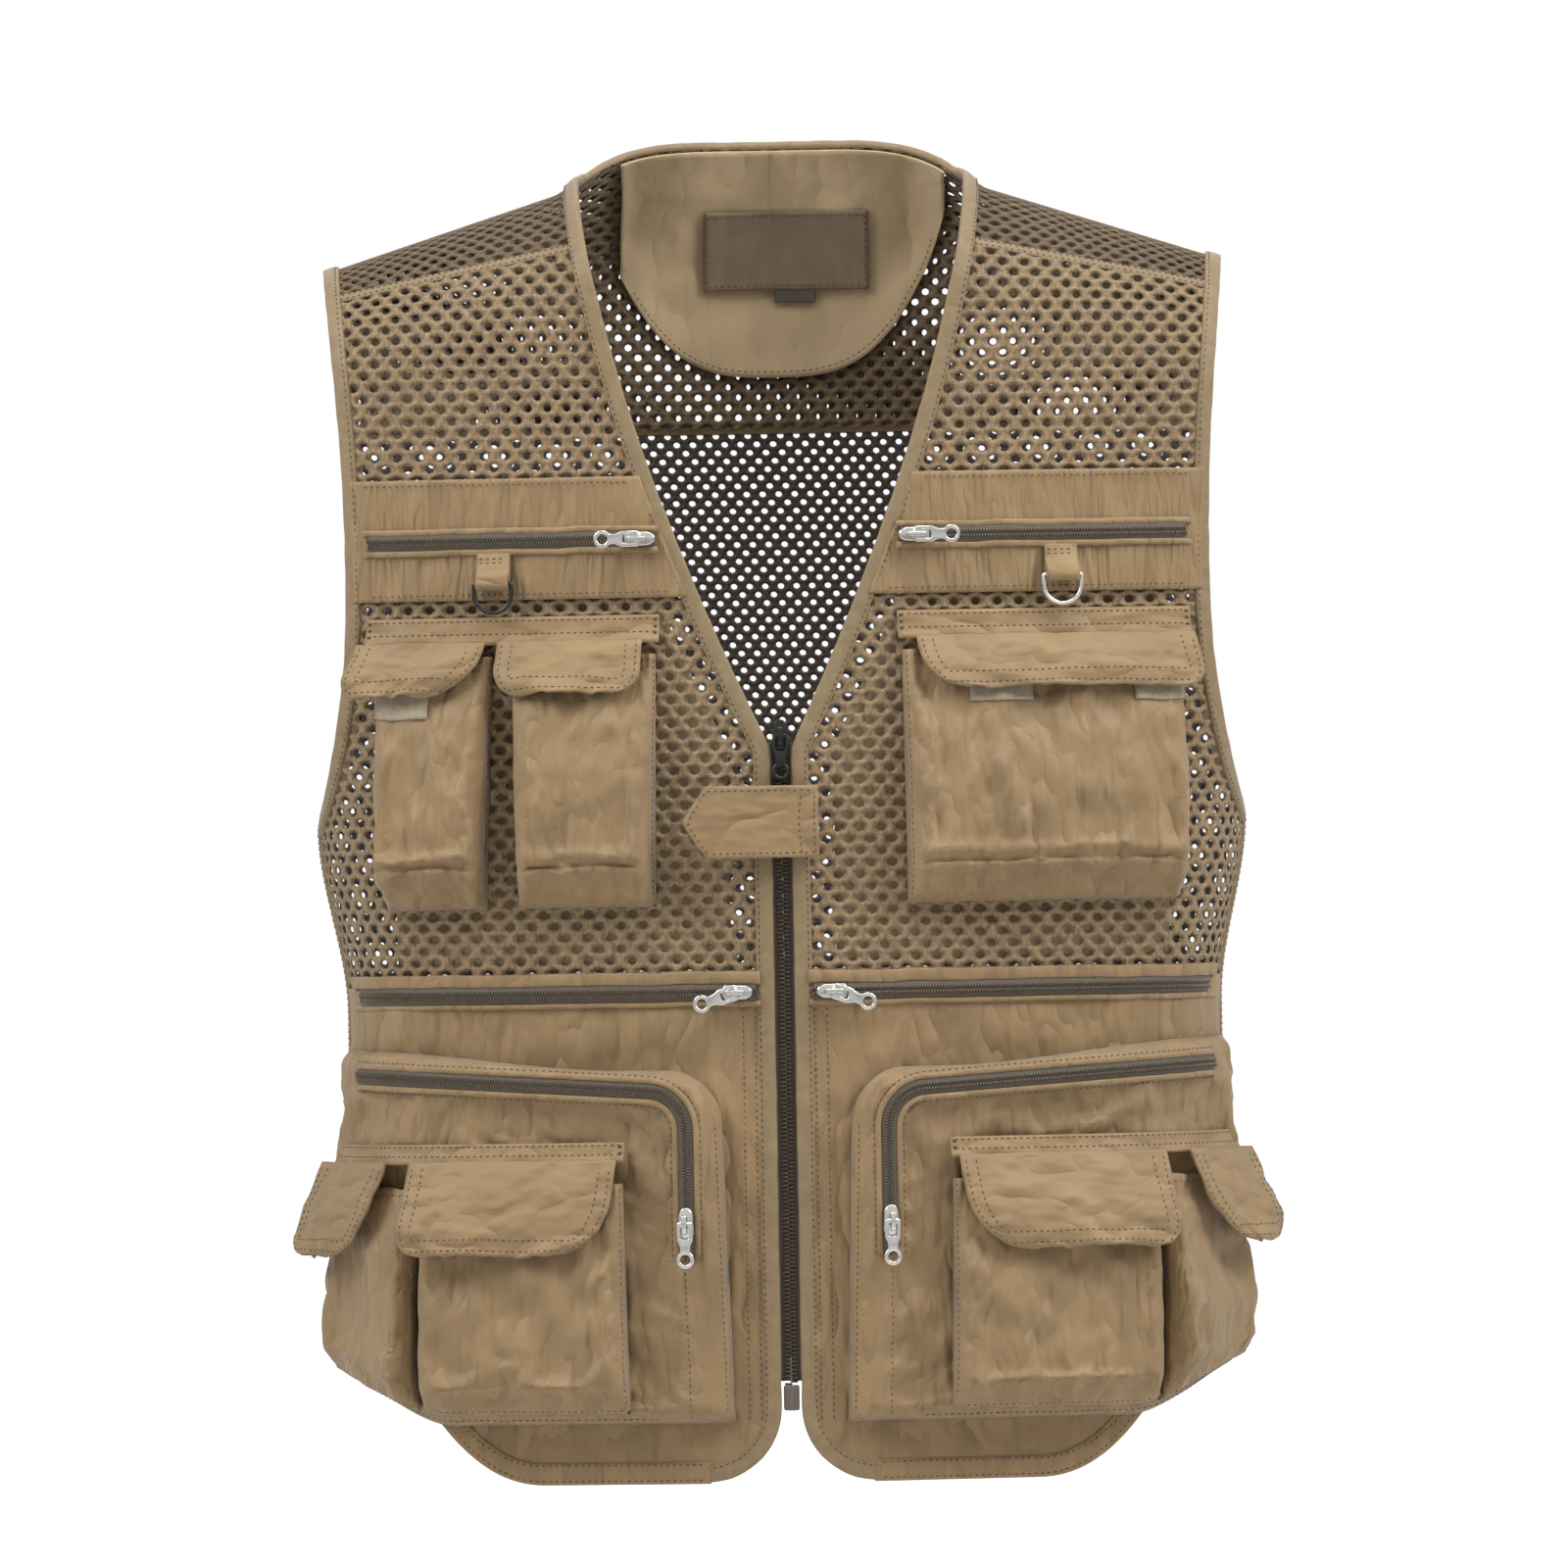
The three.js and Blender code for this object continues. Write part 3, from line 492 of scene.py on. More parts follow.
def clothMaterial(name, look):
    material = bpy.data.materials.new(name)
    material.use_nodes = True
    tree = material.node_tree
    shader = tree.nodes["Principled BSDF"]
    shader.inputs["Roughness"].default_value = look["roughness"]
    shader.inputs["Sheen Weight"].default_value = look["sheen"]
    shader.inputs["Sheen Roughness"].default_value = 0.5
    shader.inputs["Specular IOR Level"].default_value = look["specular"]
    crease = placeGroup(tree, "crinkle", {
        "Creases per metre": look["creases"], "Across": look["across"], "Up": look["up"],
        "Shading": look["shading"],
    })
    weave = placeGroup(tree, "weave", {"Threads per metre": look["threads"]})
    tone = placeGroup(tree, "tone", {"Color": (*look["color"], 1), "Uneven": look["uneven"]})
    # Shade A is the crease group's painted shade and light; Shade B is the weave's fleck.
    tree.links.new(crease.outputs["Shade"], tone.inputs["Shade A"])
    tree.links.new(weave.outputs["Shade"], tone.inputs["Shade B"])
    tree.links.new(tone.outputs["Color"], shader.inputs["Base Color"])
    normal = bumpFrom(tree, crease.outputs["Height"], look["creaseDepth"], 1.0)
    normal = bumpFrom(tree, weave.outputs["Height"], 0.0002, look["grain"], normal)
    tree.links.new(normal, shader.inputs["Normal"])
    return material


def hardMaterial(name, look):
    material = bpy.data.materials.new(name)
    material.use_nodes = True
    tree = material.node_tree
    shader = tree.nodes["Principled BSDF"]
    shader.inputs["Base Color"].default_value = (*look["color"], 1)
    shader.inputs["Metallic"].default_value = look["metallic"]
    shader.inputs["Coat Weight"].default_value = look["coat"]
    scuff = placeGroup(tree, "scuff", {"Roughness": look["roughness"], "Marks": look["marks"]})
    tree.links.new(scuff.outputs["Roughness"], shader.inputs["Roughness"])
    tree.links.new(bumpFrom(tree, scuff.outputs["Height"], 0.0001, 0.06), shader.inputs["Normal"])
    return material


# Cloth looks: colour, crease sizes (creases per metre, and how they stretch across and up), sheen, and
# shading, the strength of the shade and light the creases paint into the colour.
nylonLook = {
    "color": (0.335, 0.222, 0.108), "roughness": 0.55, "sheen": 0.2, "specular": 0.4, "uneven": 0.22,
    "creases": 44.0, "across": 1.5, "up": 0.55, "shading": 0.45, "creaseDepth": 0.0105,
    "threads": 1400.0, "grain": 0.25,
}
nylonCloth = clothMaterial("nylon", nylonLook)
bandCloth = clothMaterial("nylonBand", {**nylonLook, "creases": 75.0, "across": 2.0, "up": 0.35,
                                        "creaseDepth": 0.0065})
flapCloth = clothMaterial("nylonFlap", {**nylonLook, "creases": 38.0, "across": 0.8, "up": 1.5,
                                        "creaseDepth": 0.0085})
# The mesh's creases paint strong shade and light into the yarn's colour (shading 1.5).
meshLook = {**nylonLook, "color": (0.3, 0.208, 0.112), "roughness": 0.7, "creases": 330.0, "up": 1.0,
            "shading": 1.5, "creaseDepth": 0.0012, "threads": 800.0, "grain": 0.8, "sheen": 0.15}
meshCloth = clothMaterial("meshYarn", meshLook)
meshDark = clothMaterial("meshYarnYoke", {**meshLook, "color": (0.15, 0.1, 0.052)})
# Painted shade: the back mesh's yarn is coloured far darker than the front's, for the shade on the inside of
# the back seen through the front opening.
meshBackPaintedShade = clothMaterial("meshYarnBackPaintedShade", {**meshLook, "color": (0.06, 0.045, 0.032)})
liningCloth = clothMaterial("lining", {**nylonLook, "color": (0.6, 0.445, 0.26), "creases": 26.0,
                                       "roughness": 0.6, "creaseDepth": 0.005})
bindingCloth = clothMaterial("binding", {**nylonLook, "color": (0.30, 0.215, 0.115), "creases": 160.0,
                                         "creaseDepth": 0.0007, "across": 1.0, "up": 1.0})
threadCloth = clothMaterial("thread", {**nylonLook, "color": (0.085, 0.056, 0.03), "creases": 600.0,
                                       "creaseDepth": 0.0001, "roughness": 0.5})
tapeCloth = clothMaterial("zipTape", {**nylonLook, "color": (0.115, 0.092, 0.066), "creases": 300.0,
                                      "creaseDepth": 0.0002, "threads": 1000.0, "grain": 0.6, "sheen": 0.1})
coilNylon = hardMaterial("zipCoil", {"color": (0.17, 0.135, 0.095), "metallic": 0.0, "coat": 0.15,
                                     "roughness": 0.42, "marks": 0.15})
brightMetal = hardMaterial("brightMetal", {"color": (0.78, 0.77, 0.74), "metallic": 1.0, "coat": 0.0,
                                           "roughness": 0.16, "marks": 0.1})
darkMetal = hardMaterial("darkMetal", {"color": (0.035, 0.034, 0.034), "metallic": 0.8, "coat": 0.4,
                                       "roughness": 0.2, "marks": 0.2})
boxPlastic = hardMaterial("zipBoxPlastic", {"color": (0.2, 0.17, 0.14), "metallic": 0.6, "coat": 0.1,
                                            "roughness": 0.35, "marks": 0.2})
hookTape = clothMaterial("hookTape", {**nylonLook, "color": (0.46, 0.385, 0.27), "creases": 500.0,
                                      "creaseDepth": 0.0004, "roughness": 0.85})
labelCloth = clothMaterial("label", {**nylonLook, "color": (0.25, 0.18, 0.11), "creases": 90.0,
                                     "creaseDepth": 0.0005, "roughness": 0.6})
report("materials")


# Knitted mesh: rows of oval holes in a brick pattern, each cell a ring of yarn round its hole.
yarn = {"rise": 0.65, "fall": 0.45, "points": 12}


def ringArea(x, z, count):
    # The flat area inside each ring of count points.
    x, z = np.reshape(x, (-1, count)), np.reshape(z, (-1, count))
    return np.abs((x * np.roll(z, -1, axis=1) - np.roll(x, -1, axis=1) * z).sum(axis=1)) / 2


def knit(face, level, sides, pitch, row, hole, keep, out, slant):
    # level gives the top and bottom cloth lengths, sides the widths, keep(x, z) clamps a point inside.
    count = yarn["points"]
    cellX = np.array([0.5, 0.5, 0.25, 0, -0.25, -0.5, -0.5, -0.5, -0.25, 0, 0.25, 0.5]) * pitch
    cellT = np.array([0.0, 0.333, 0.5, 0.667, 0.5, 0.333, 0.0, -0.333, -0.5, -0.667, -0.5, -0.333]) * row
    angle = np.arctan2(cellT, cellX)
    rows = np.arange(math.floor(level[0] / row) - 1, math.ceil(level[1] / row) + 2)
    spare = abs(slant) * max(abs(level[0]), abs(level[1]))
    cols = np.arange(math.floor((sides[0] - spare) / pitch) - 1, math.ceil((sides[1] + spare) / pitch) + 2)
    j, i = np.meshgrid(rows, cols, indexing="ij")
    centreS = ((i + 0.5 * (j % 2)) * pitch).ravel()
    centreT = (j * row).ravel()
    ringS = centreS[:, None] + cellX
    ringT = centreT[:, None] + cellT
    holeS = centreS[:, None] + hole[0] / 2 * np.cos(angle)
    holeT = centreT[:, None] + hole[1] / 2 * np.sin(angle)

    def place(s, t):
        s = s + 2.2 * noise(s, t, (45, 60), 3) + slant * t
        t = np.round(t, 3)
        x = across(s, -t, face)
        return x, down(x, t)[0]

    ringX, ringZ = place(ringS.ravel(), ringT.ravel())
    holeX, holeZ = place(holeS.ravel(), holeT.ravel())
    midX, midZ = place(centreS, centreT)
    keptX, keptZ = keep(midX, midZ)
    inside = np.hypot(keptX - midX, keptZ - midZ) < 0.4 * row
    # Cells past the cloth's side edge fold onto it and aren't part of the cut.
    laid = centreS + slant * centreT
    cloth = inside & (np.abs(midX) < sectionHalf(-np.round(centreT, 3)) - 0.006)
    whole = ringArea(ringX, ringZ, count)
    inside = np.repeat(inside, count)
    kept = ringArea(*keep(ringX, ringZ), count) / np.maximum(whole, 1e-9)
    # The cut: its width, its length, and its area less the holes, with trimmed cells counted in part.
    cut = (float(np.ptp(laid[cloth])) + pitch, float(np.ptp(centreT[cloth])) + row,
           float(np.clip(kept[cloth], 0, 1).sum()) * (pitch * row - math.pi / 4 * hole[0] * hole[1]))
    ringX, ringZ = keep(ringX[inside], ringZ[inside])
    holeX, holeZ = keep(holeX[inside], holeZ[inside])
    middle, normal = onBody(face, ringX, ringZ, out)
    hollow, _ = onBody(face, holeX, holeZ, out)
    top = middle + normal * yarn["rise"]
    bottom = middle - normal * yarn["fall"]
    cells = len(ringX) // count
    points = np.concatenate([top, bottom, hollow])
    k = np.arange(cells * count).reshape(cells, count)
    after = np.roll(k, -1, axis=1)
    size = cells * count
    upper = np.stack([k, after, after + 2 * size, k + 2 * size], -1).reshape(-1, 4)
    lower = np.stack([after + size, k + size, k + 2 * size, after + 2 * size], -1).reshape(-1, 4)
    # Points shared by neighbouring cells become one.
    key = np.round(points, 2)
    _, first, inverse = np.unique(key, axis=0, return_index=True, return_inverse=True)
    inverse = inverse.ravel()
    # A rim joins the two faces round the outside of the panel.
    ends = np.sort(np.stack([inverse[k], inverse[after]], -1).reshape(-1, 2), axis=1)
    _, which, times = np.unique(ends, axis=0, return_inverse=True, return_counts=True)
    outer = (times[which.ravel()] == 1) & (ends[:, 0] != ends[:, 1])
    rim = np.stack([after, k, k + size, after + size], -1).reshape(-1, 4)[outer]
    return points[first], inverse[np.concatenate([upper, lower, rim])], cut


def tidyFaces(faces):
    # Drops the repeated corners of squeezed faces, and faces that have closed up.
    kept = []
    for face in faces:
        corners = [v for n, v in enumerate(face) if v != face[n - 1]]
        if len(corners) > 2:
            kept.append(tuple(corners))
    return kept


def knitPiece(name, face, level, sides, knitSize, keep, material, replaced=(), out=0.6, slant=0.0):
    points, faces, cut = knit(face, level, sides, knitSize["pitch"], knitSize["row"], knitSize["hole"], keep,
                              out,
                              slant)
    flip = face > 0
    faces = [f[::-1] for f in tidyFaces(faces)] if flip else tidyFaces(faces)
    piece = newObject(name, points, faces, material, slot="mesh_cloth", replaced=replaced)
    return piece


frontKnit = {"pitch": 11.25, "row": 6.0, "hole": (4.4, 4.3)}
backKnit = {"pitch": 10.0, "row": 5.3, "hole": (3.9, 3.7)}
latticeKnit = {"pitch": 8.2, "row": 4.35, "hole": (3.3, 3.0)}
shoulderSeam = {"inZ": -32.0, "outZ": -57.0}


def shoulderSeamZ(x):
    # The sewn line on the front of the shoulder, where the yoke comes over from the back.
    t = (np.abs(x) - form["neckHalf"]) / (form["shoulderHalf"] - form["neckHalf"])
    return mix(shoulderSeam["inZ"], shoulderSeam["outZ"], t)


def keepFront(side):
    def keep(x, z):
        reach = np.clip(side * x, openingHalf(z) + 3.5, panelEdge(z) - 2.5 * (z > form["underarmZ"]))
        return side * reach, np.clip(z, form["waistSeamZ"], shoulderSeamZ(x))
    return keep


def keepFrontYoke(side):
    def keep(x, z):
        reach = np.clip(side * x, openingHalf(z) + 3.5, panelEdge(z) - 2.5)
        return side * reach, np.clip(z, shoulderSeamZ(x), ridgeZ(reach) - 0.0006)
    return keep


def keepYoke(x, z):
    edge = panelEdge(z) - 2.5
    x = np.clip(x, -edge, edge)
    drop = 2.0 * smooth((form["neckHalf"] + 8 - np.abs(x)) / 8)
    return x, np.clip(z, form["yokeSeamZ"], backNeckline(x) - drop)


def keepBack(x, z):
    edge = panelEdge(z) - 2.5 * (z > form["underarmZ"])
    return np.clip(x, -edge, edge), np.clip(z, form["waistSeamZ"], form["yokeSeamZ"])


for side, name in ((-1, "right"), (1, "left")):
    sides = sorted((0.0, side * 262.0))
    knitPiece(f"mesh_front_{name}", front, (20.0, 410.0), sides, frontKnit, keepFront(side), meshCloth,
              (f"front_mesh_{name}",))
    knitPiece(f"mesh_shoulder_{name}", front, (-70.0, 70.0), sides, backKnit, keepFrontYoke(side), meshDark)
knitPiece("mesh_back_yoke", back, (-100.0, 124.0), (-262.0, 262.0), backKnit, keepYoke, meshDark,
          ("back_yoke",))
knitPiece("mesh_back_yoke_inner", back, (-100.0, 124.0), (-262.0, 262.0), {**backKnit, "pitch": 10.6},
          keepYoke,
          meshDark, out=-1.6, slant=-0.08)
# The back panel takes the darkened yarn: painted shade for the inside of the vest.
knitPiece("mesh_back", back, (118.0, 412.0), (-262.0, 262.0), latticeKnit, keepBack, meshBackPaintedShade,
          ("back_mesh_panel",), slant=0.11)
report("mesh panels")


# Cloth pieces laid on the form
def spread(face, x0, x1, z, cols):
    # x values evenly spaced along the cloth between two x values at one height.
    xs, lengths = girth(float(z), face)
    s = np.sign([x0, x1]) * np.interp(np.abs([x0, x1]), xs, lengths)
    steps = np.linspace(s[0], s[1], cols)
    return np.sign(steps) * np.interp(np.abs(steps), lengths, xs)


def evenPatch(face, ends, heights, out, cols, rows):
    # A grid of cloth between two side edges, its columns evenly spaced along the cloth.
    levels = np.linspace(0, 1, rows)
    x = np.stack([spread(face, *ends(mix(*heights(np.array(0.0)), v)), mix(*heights(np.array(0.0)), v), cols)
                  for v in levels])
    v = levels[:, None] * np.ones((1, cols))
    u = np.ones((rows, 1)) * np.linspace(0, 1, cols)[None, :]
    top, bottom = heights(x)
    z = mix(top, bottom, v)
    return onBody(face, x, z, out(x, z, u, v) if callable(out) else out)


def clothPiece(name, points, like, thickness, material, body="vest",
               slot="nylon_cloth", replaced=()):
    normals = outwardNormals(points, like)
    vertices, faces = slabMesh(points, normals, thickness)
    piece = newObject(name, vertices, faces, material, body, slot, replaced)
    return piece


def sweep(path, across, normal, profile, closedPath=False):
    # A closed profile carried along a path. profile gives pairs: distance across, distance out.
    profile = np.asarray(profile, float)
    count, sides = len(path), len(profile)
    ring = (path[:, None, :] + across[:, None, :] * profile[None, :, :1]
            + normal[:, None, :] * profile[None, :, 1:])
    vertices = ring.reshape(-1, 3)
    index = np.arange(count * sides).reshape(count, sides)
    ahead = np.roll(index, -1, axis=0) if closedPath else index[1:]
    here = index if closedPath else index[:-1]
    quads = np.stack([here, np.roll(here, -1, axis=1), np.roll(ahead, -1, axis=1), ahead], -1).reshape(-1, 4)
    faces = [tuple(q) for q in quads]
    if not closedPath:
        faces += [tuple(index[0][::-1]), tuple(index[-1])]
    return vertices, faces


def pathFrame(path, normals, closedPath=False):
    path = np.asarray(path, float)
    along = (np.roll(path, -1, axis=0) - np.roll(path, 1, axis=0)) if closedPath else np.gradient(path,
                                                                                                  axis=0)
    along /= np.maximum(1e-9, np.linalg.norm(along, axis=1, keepdims=True))
    across = np.cross(along, normals)
    across /= np.maximum(1e-9, np.linalg.norm(across, axis=1, keepdims=True))
    return along, across


def resample(path, gap, measured=None):
    # Even steps along a path. measured is how many of its leading columns count towards its length.
    path = np.asarray(path, float)
    run = np.concatenate([[0], np.cumsum(np.linalg.norm(np.diff(path[:, :measured], axis=0), axis=1))])
    steps = np.linspace(0, run[-1], max(3, int(run[-1] / gap) + 1))
    return np.stack([np.interp(steps, run, path[:, k]) for k in range(path.shape[1])], -1)


def onForm(face, flatPath, out, gap=3.0):
    # A path of x and z pairs laid on the form.
    flat = resample(flatPath, gap)
    points, normals = onBody(face, flat[:, 0], flat[:, 1], out)
    return points, normals


def foldProfile(width, low, high, round=0.8):
    # The section of a folded strip: flat on both faces, rounded along both edges.
    half = width / 2
    mid = (low + high) / 2
    return [(-half, mid), (-half + round * 0.4, high - 0.25), (-half + round * 1.5, high), (0, high + 0.12),
            (half - round * 1.5, high), (half - round * 0.4, high - 0.25), (half, mid),
            (half - round, low), (-half + round, low)]


seamThread = Bundle()


def sewLine(face, flatPath, out, bundle=None):
    points, normals = onForm(face, flatPath, out)
    (bundle or seamThread).add(*stitches(points, normals))


# Edges: the armholes and the front edges are bound with a folded strip, stitched near its inner edge.
def bound(name, face, flatPath, width, shift, stitchAt, replaced, sideways):
    flat = resample(flatPath, 0.2)
    flat = resample(np.concatenate([onBody(face, flat[:, 0], flat[:, 1])[0], flat], axis=1), 2.2, 3)[:, 3:]
    points, normals = onBody(face, flat[:, 0], flat[:, 1])
    _, across = pathFrame(points, normals)
    if (across * sideways).sum() < 0:
        across = -across
    wave = 0.35 * noise(np.arange(len(points)) * 2.2, np.zeros(len(points)), (9, 9), 5)[:, None]
    centre = points + across * (shift + wave * 0.5) + normals * (0.25 * wave)
    vertices, faces = sweep(centre, across, normals, foldProfile(width, -1.1, 2.5))
    piece = newObject(name, vertices, faces, bindingCloth, slot="binding_cloth", replaced=replaced)
    seamThread.add(*stitches(points + across * stitchAt + normals * 2.55, normals))
    return piece


def bindingPieces(side, name):
    top = float(ridgeZ(form["neckHalf"] + 3.9)) - 0.0006
    z = np.concatenate([np.linspace(top, form["vNeckZ"], 160), np.linspace(form["vNeckZ"] - 3, -600, 110)])
    x = side * (openingHalf(z) + 3.9)
    r = form["frontCorner"]
    turn = np.linspace(0, math.pi / 2, 16)
    corner = np.stack([side * (form["frontGap"] + r - (r - 3.9) * np.cos(turn)),
                       form["hemZ"] + r - (r - 4.4) * np.sin(turn)], -1)
    path = np.concatenate([np.stack([x, z], -1), corner])
    bound(f"edge_front_{name}", front, path, 9.0, 0.0, -2.9, (f"front_binding_{name}",),
          np.array([-side, 0, 0]))
    zArm = np.linspace(form["underarmZ"] + 0.01, float(ridgeZ(form["shoulderHalf"] - 2)) - 0.0006, 400)
    for face, part in ((front, "front"), (back, "back")):
        path = np.stack([side * np.minimum(armholeX(zArm), sectionHalf(zArm) - 0.0006), zArm], -1)
        bound(f"edge_armhole_{part}_{name}", face, path, 8.5, -1.5, -4.2,
              (f"armhole_binding_{name}",) if part == "front" else (), np.array([side, 0, 0]))


for side, name in ((-1, "right"), (1, "left")):
    bindingPieces(side, name)

neckX = np.linspace(-form["neckHalf"] - 3.9, form["neckHalf"] + 3.9, 300)
neckZ = backNeckline(neckX) - 3.2 * smooth((form["neckHalf"] + 3.9 - np.abs(neckX)) / 8)
bound("edge_neck_back", back, np.stack([neckX, np.minimum(neckZ, ridgeZ(neckX) - 0.0006)], -1), 8.0, 0.0,
      -2.6, (),
      np.array([0, 0, 1]))
report("bindings")


# Plain panels
def bandPieces(side, name):
    def ends(z):
        return side * (float(openingHalf(z)) + 5.0), side * (float(panelEdge(z)) - 1.5)

    def out(x, z, u, v):
        folds = noise(x, z, (3.6, 26), 11) * 0.55 + noise(x, z, (9, 40), 12) * 0.6
        hold = np.clip(np.minimum(v, 1 - v) * 7, 0, 1) * 0.8 + 0.2
        nearZip = 1 - 0.7 * np.exp(-((z + 181.5) / 6) ** 2)
        return 3.0 + folds * hold * nearZip

    points, normals = evenPatch(front, ends, lambda x: (-149.5 + 0 * x, -211.5 + 0 * x), out, 90, 34)
    clothPiece(f"band_chest_{name}", points, normals, 0.9, bandCloth,
               replaced=(f"chest_band_{name}",))
    for z in (-152.5, -176.3, -187.0, -208.6):
        xs = spread(front, *ends(z), z, 60)
        sewLine(front, np.stack([xs, np.full(60, z)], -1)[3:-3], 3.75)


def lowerPanel(side, name):
    top = form["waistSeamZ"] - 1.5

    def ends(z):
        return side * (form["frontGap"] + 5.0), side * (float(sectionHalf(z)) - 0.012)

    def out(x, z, u, v):
        free = np.clip((1 - v) * 5, 0, 1)
        pull = noise(x + 0.5 * z, z, (34, 16), 21) * 0.9 + noise(x, z, (12, 14), 22) * 0.35
        return 1.5 + pull * free + 0.3

    points, normals = evenPatch(front, ends, lambda x: (top + 0 * x, frontHem(x)), out, 80, 90)
    clothPiece(f"panel_lower_{name}", points, normals, 0.9, nylonCloth,
               replaced=(f"front_lower_{name}",))
    xs = np.linspace(form["frontGap"] + 36, form["waistHalf"] - 0.6, 200)
    hem = np.stack([side * xs, frontHem(xs) + 5.0], -1)
    edge, normals = onForm(front, hem, 0.0, 2.5)
    _, across = pathFrame(edge, normals)
    if across[:, 2].mean() < 0:
        across = -across
    vertices, faces = sweep(edge, across, normals, foldProfile(11.5, -0.6, 2.7))
    newObject(f"hem_front_{name}", vertices, faces, nylonCloth)
    for rise, out in ((1.2, 2.7), (9.2, 2.75)):
        sewLine(front, np.stack([side * xs, frontHem(xs) + rise], -1)[4:-2], out)
    for gap in (9.5, 15.5):
        z = np.linspace(form["waistSeamZ"] - 14, -632, 60)
        sewLine(front, np.stack([np.full(60, side * (form["frontGap"] + gap)), z], -1), 2.3)


def liningPieces(side, name):
    def ends(z):
        return side * (float(openingHalf(z)) + 22.0), side * 201.0

    def out(x, z, u, v):
        return -5.6 + 0.9 * noise(x, z, (26, 40), 31) * np.clip(np.minimum(u, 1 - u) * 8, 0, 1)

    points, normals = evenPatch(front, ends, lambda x: (-190 + 0 * x, -400 + 0 * x), out, 44, 48)
    clothPiece(f"bag_inner_{name}", points, normals, 0.6, liningCloth,
               slot="lining_cloth", replaced=(f"pocket_bag_{name}",))


def backPieces():
    def ends(z):
        edge = float(sectionHalf(z)) - 0.012
        return -edge, edge

    def out(x, z, u, v):
        return 1.6 + noise(x, z, (38, 22), 41) * 0.8 * np.clip(np.minimum(v, 1 - v) * 6, 0, 1)

    hemZ = form["backHemZ"]
    points, normals = evenPatch(back, ends, lambda x: (form["waistSeamZ"] - 1.5 + 0 * x, hemZ + 0 * x), out,
                                130, 56)
    clothPiece("panel_back_lower", points, normals, 0.9, nylonCloth,
               replaced=("back_lower_panel",))
    for z, half in ((hemZ + 1.4, 2.3), (hemZ + 13.0, 2.3), (form["waistSeamZ"] - 6.5, 2.4)):
        xs = spread(back, *ends(z), z, 200)
        sewLine(back, np.stack([xs, np.full(200, z)], -1)[2:-2], half)


def seamTape(name, face, flatPath, width, high, material=bindingCloth):
    points, normals = onForm(face, flatPath, 0.0, 3.0)
    _, across = pathFrame(points, normals)
    vertices, faces = sweep(points, across, normals, foldProfile(width, -0.2, high))
    newObject(name, vertices, faces, material, slot="binding_cloth")
    for shift in (-width / 2 + 1.3, width / 2 - 1.3):
        line = points + across * shift + normals * (high + 0.05)
        seamThread.add(*stitches(line, normals))


def neckFacing():
    def out(x, z, u, v):
        soft = noise(x, z, (38, 30), 51) * 1.5 + noise(x, z, (14, 12), 52) * 0.45
        return -4.8 - soft * np.clip(np.minimum(v, 1 - v) * 6, 0, 1)

    v = np.linspace(0, 1, 46)[:, None] * np.ones((1, 96))
    x = np.linspace(-80.0, 93.0, 96)[None, :] * np.ones((46, 1))
    bottom = np.minimum(96.0 * ((np.abs(x) / 96.0) ** 3.2 - 1), -8.0)
    z = mix(backNeckline(x) - 1.0, bottom, v)
    points, normals = onBody(back, x, z, out(x, z, None, v))
    clothPiece("facing_neck", points, -normals, 0.8, liningCloth,
               slot="lining_cloth", replaced=("neck_facing",))
    edge = np.stack([x[-1] * 0.985, bottom[-1] + 3.0], -1)[3:-3]
    line, normals = onForm(back, edge, -6.1)
    seamThread.add(*stitches(line, -normals))


for side, name in ((-1, "right"), (1, "left")):
    bandPieces(side, name)
    lowerPanel(side, name)
    liningPieces(side, name)
    xs = np.linspace(form["neckHalf"] + 4, form["shoulderHalf"] - 5, 50)
    seamTape(f"seam_shoulder_{name}", front, np.stack([side * xs, shoulderSeamZ(xs)], -1), 5.5, 1.5)
    zs = np.linspace(form["underarmZ"] - 1, -602, 120)
    seamTape(f"seam_side_{name}", front, np.stack([side * sectionHalf(zs), zs], -1), 9.0, 2.4)
backPieces()
neckFacing()
for z, name in ((form["yokeSeamZ"], "yoke"), (form["waistSeamZ"], "waist")):
    edge = float(panelEdge(z)) - 2.0
    xs = spread(back, -edge, edge, z, 160)
    seamTape(f"seam_back_{name}", back, np.stack([xs, np.full(160, z)], -1), 7.0, 2.2)
report("panels")


